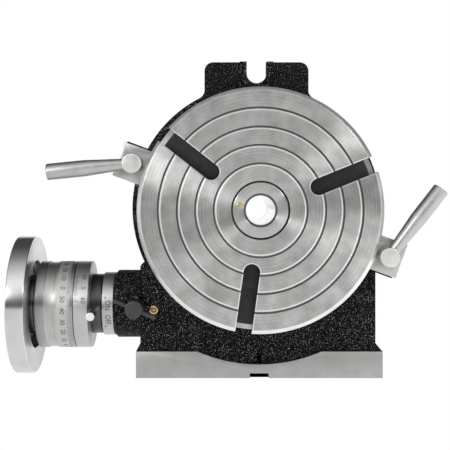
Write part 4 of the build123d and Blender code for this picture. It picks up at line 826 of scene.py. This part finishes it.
LOCK_X, LOCK_Z = -77.6, -61.25
KNOB_FRONT, KNOB_BACK, KNOB_RADIUS = 9.0, 21.5, 5.6
LOCK_BACK, LOCK_RADIUS = 31.5, 4.0
TOMMY_DEPTH, TOMMY_LEAN = 14.0, math.radians(-23)
TOMMY_HALF_LENGTH, TOMMY_END, TOMMY_END_RADIUS, TOMMY_RADIUS = 14, 2, 1.7, 1.3
oxide = plain_metal("black_oxide", (0.09, 0.09, 0.09), 0.48)
knob_outline = rounded(stacked(KNOB_FRONT, (KNOB_BACK, KNOB_RADIUS), (LOCK_BACK, LOCK_RADIUS)), 0.9)
knob = turned("lock_knob", knob_outline, (LOCK_X, 0, LOCK_Z), Y_AXIS, turns=64)
show(knob, "lock_screw", "black_oxide", oxide, "lock_screw")
far_end = [(TOMMY_HALF_LENGTH - TOMMY_END - 0.5, TOMMY_RADIUS)]
far_end += [(TOMMY_HALF_LENGTH - TOMMY_END, TOMMY_END_RADIUS), (TOMMY_HALF_LENGTH, TOMMY_END_RADIUS)]
far_end += [(TOMMY_HALF_LENGTH, -2)]
bar_outline = [(-place_at, radius) for place_at, radius in reversed(far_end)] + far_end
bar_line = (math.cos(TOMMY_LEAN), 0, math.sin(TOMMY_LEAN))
tommy = turned("tommy_rod", rounded(bar_outline, 0.4), (LOCK_X, TOMMY_DEPTH, LOCK_Z), bar_line, turns=32)
show(tommy, "tommy_bar", "black_oxide", oxide, "tommy_bar")


# Pieces seen from behind or inside
# The solids of the drive, the bearings and the back cover show only from behind or through gaps.
# They are shown as they are, each in the metal that it is made of.

bronze = plain_metal("bronze", (0.55, 0.36, 0.16), 0.35)
inner_steel = plain_metal("inner_steel", (0.5, 0.5, 0.5), 0.3)
bare_aluminium = plain_metal("bare_aluminium", (0.72, 0.72, 0.72), 0.35)
finishes = {
    bronze: ("thrust_washer", "worm_wheel", "worm_bush"),
    oxide: ("cover_screws", "ring_nut", "wheel_screws", "vernier_screw", "end_play_nuts"),
    inner_steel: ("worm_shaft", "shaft_key", "worm_thrust_washer", "dial_hub", "dial_spring"),
    clamp_steel: ("back_cover", "handwheel_washer", "handwheel_nut"),
    bare_aluminium: ("index_plate", "index_pins"),
}
for finish, names in finishes.items():
    for name in names:
        finish_solid(name, finish)


# Floor
# The camera sees a white floor with a painted shadow, a dark patch under the foot's relief. The metal
# mirrors it a little brighter on the right than on the left. Distances are in metres.

FLOOR_HALF_SIZE = 4.0
FLOOR_LEFT, FLOOR_RIGHT = 0.75, 1.15
FLOOR_CHANGE = (-0.35, 0.25)
SHADOW_UNDER_FOOT = {"X": (-0.068, 0.068), "Y": (0.026, 0.084)}
corners = [(-1, -1), (1, -1), (1, 1), (-1, 1)]
corners = [(x * FLOOR_HALF_SIZE, y * FLOOR_HALF_SIZE, FOOT_BOTTOM * MM) for x, y in corners]
floor_mesh = bpy.data.meshes.new("floor")
floor_mesh.from_pydata(corners, [], [(0, 1, 2, 3)])
floor = new_piece("floor", floor_mesh)
floor_paint = bpy.data.materials.new("floor")
floor_paint.use_nodes = True
tree = floor_paint.node_tree
tree.nodes.clear()
output = add(tree, "ShaderNodeOutputMaterial")
place = add(tree, "ShaderNodeTexCoord")
split = add(tree, "ShaderNodeSeparateXYZ")
tree.links.new(place.outputs["Object"], split.inputs["Vector"])
glow = mapped(tree, split.outputs["X"], FLOOR_CHANGE, (FLOOR_LEFT, FLOOR_RIGHT), "SMOOTHSTEP")
within = {}
for letter, (low, high) in SHADOW_UNDER_FOOT.items():
    past_low = worked_out(tree, "GREATER_THAN", split.outputs[letter], low)
    before_high = worked_out(tree, "LESS_THAN", split.outputs[letter], high)
    within[letter] = worked_out(tree, "MULTIPLY", past_low, before_high)
# The painted shadow: the patch under the foot, dark where the camera sees it.
painted_shadow = worked_out(tree, "MULTIPLY", within["X"], within["Y"])
path = add(tree, "ShaderNodeLightPath")
strength = add(tree, "ShaderNodeMix", data_type="FLOAT")
tree.links.new(path.outputs["Is Camera Ray"], strength.inputs["Factor"])
tree.links.new(glow, strength.inputs["A"])
tree.links.new(worked_out(tree, "SUBTRACT", 1.0, painted_shadow), strength.inputs["B"])
white = add(tree, "ShaderNodeEmission")
white.inputs["Color"].default_value = (1, 1, 1, 1)
tree.links.new(strength.outputs["Result"], white.inputs["Strength"])
tree.links.new(white.outputs["Emission"], output.inputs["Surface"])
floor_mesh.materials.append(floor_paint)


# Surround
# The camera sees white. The metal mirrors a room whose light changes from behind the camera, at 0,
# to behind the object, at 1, once for level directions and once for upward ones.

LEVEL_ROOM = [(0.0, 0.10), (0.12, 0.10), (0.22, 0.4), (0.35, 0.95)]
LEVEL_ROOM += [(0.52, 0.9), (0.75, 0.1), (0.93, 0.12), (0.98, 1.0)]
UPPER_ROOM = [(0.0, 0.25), (0.03, 0.8), (0.12, 1.15), (0.25, 0.8)]
UPPER_ROOM += [(0.5, 0.25), (0.7, 0.08), (0.93, 0.06), (0.98, 1.0)]


def room_light(tree, value, stops):
    """The light of the room as a ramp over a value: each stop is where it is and how bright."""
    ramp = add(tree, "ShaderNodeValToRGB")
    elements = ramp.color_ramp.elements
    for place_at, bright in stops[1:-1]:
        elements.new(place_at)
    for element, (place_at, bright) in zip(elements, stops):
        element.position = place_at
        element.color = (bright, bright, bright, 1)
    tree.links.new(value, ramp.inputs["Fac"])
    return ramp.outputs["Color"]


scene.view_settings.view_transform = "Standard"
world = bpy.data.worlds.new("surround")
scene.world = world
world.use_nodes = True
tree = world.node_tree
tree.nodes.clear()
output = add(tree, "ShaderNodeOutputWorld")
seen = add(tree, "ShaderNodeBackground", Strength=1.0)
seen.inputs["Color"].default_value = (1, 1, 1, 1)
soft = add(tree, "ShaderNodeBackground", Strength=1.0)
look = add(tree, "ShaderNodeTexCoord")
axes = add(tree, "ShaderNodeSeparateXYZ")
tree.links.new(look.outputs["Generated"], axes.inputs["Vector"])
to_back = mapped(tree, axes.outputs["Y"], (-1.0, 1.0), (0.0, 1.0))
upwards = mapped(tree, axes.outputs["Z"], (0.1, 0.5), (0.0, 1.0), "SMOOTHSTEP")
room = add(tree, "ShaderNodeMix", data_type="RGBA")
tree.links.new(upwards, room.inputs["Factor"])
tree.links.new(room_light(tree, to_back, LEVEL_ROOM), room.inputs["A"])
tree.links.new(room_light(tree, to_back, UPPER_ROOM), room.inputs["B"])
tree.links.new(room.outputs["Result"], soft.inputs["Color"])
path = add(tree, "ShaderNodeLightPath")
mix = add(tree, "ShaderNodeMixShader")
tree.links.new(path.outputs["Is Camera Ray"], mix.inputs["Fac"])
tree.links.new(soft.outputs["Background"], mix.inputs[1])
tree.links.new(seen.outputs["Background"], mix.inputs[2])
tree.links.new(mix.outputs["Shader"], output.inputs["Surface"])


# Lamps
# Two soft panels face the table from in front, one up on the left and one up on the right.
# Each has its turn round the table's axis and its angle off that axis in degrees, then its width
# and height in metres and its power in watts.

LAMPS = {
    "left_lamp": (157, 45, 0.26, 0.30, 4.4),
    "right_lamp": (36, 45, 0.24, 0.24, 2.4),
}
LAMP_DISTANCE = 1.3
for name, (turn, off_axis, width, height, power) in LAMPS.items():
    turn, off_axis = math.radians(turn), math.radians(off_axis)
    across = math.sin(off_axis)
    data = bpy.data.lights.new(name, "AREA")
    data.shape = "RECTANGLE"
    data.size, data.size_y = width, height
    data.energy = power
    lamp = new_piece(name, data)
    towards = Vector((across * math.cos(turn), -math.cos(off_axis), across * math.sin(turn)))
    lamp.location = towards * LAMP_DISTANCE
    lamp.rotation_euler = towards.to_track_quat("Z", "Y").to_euler()
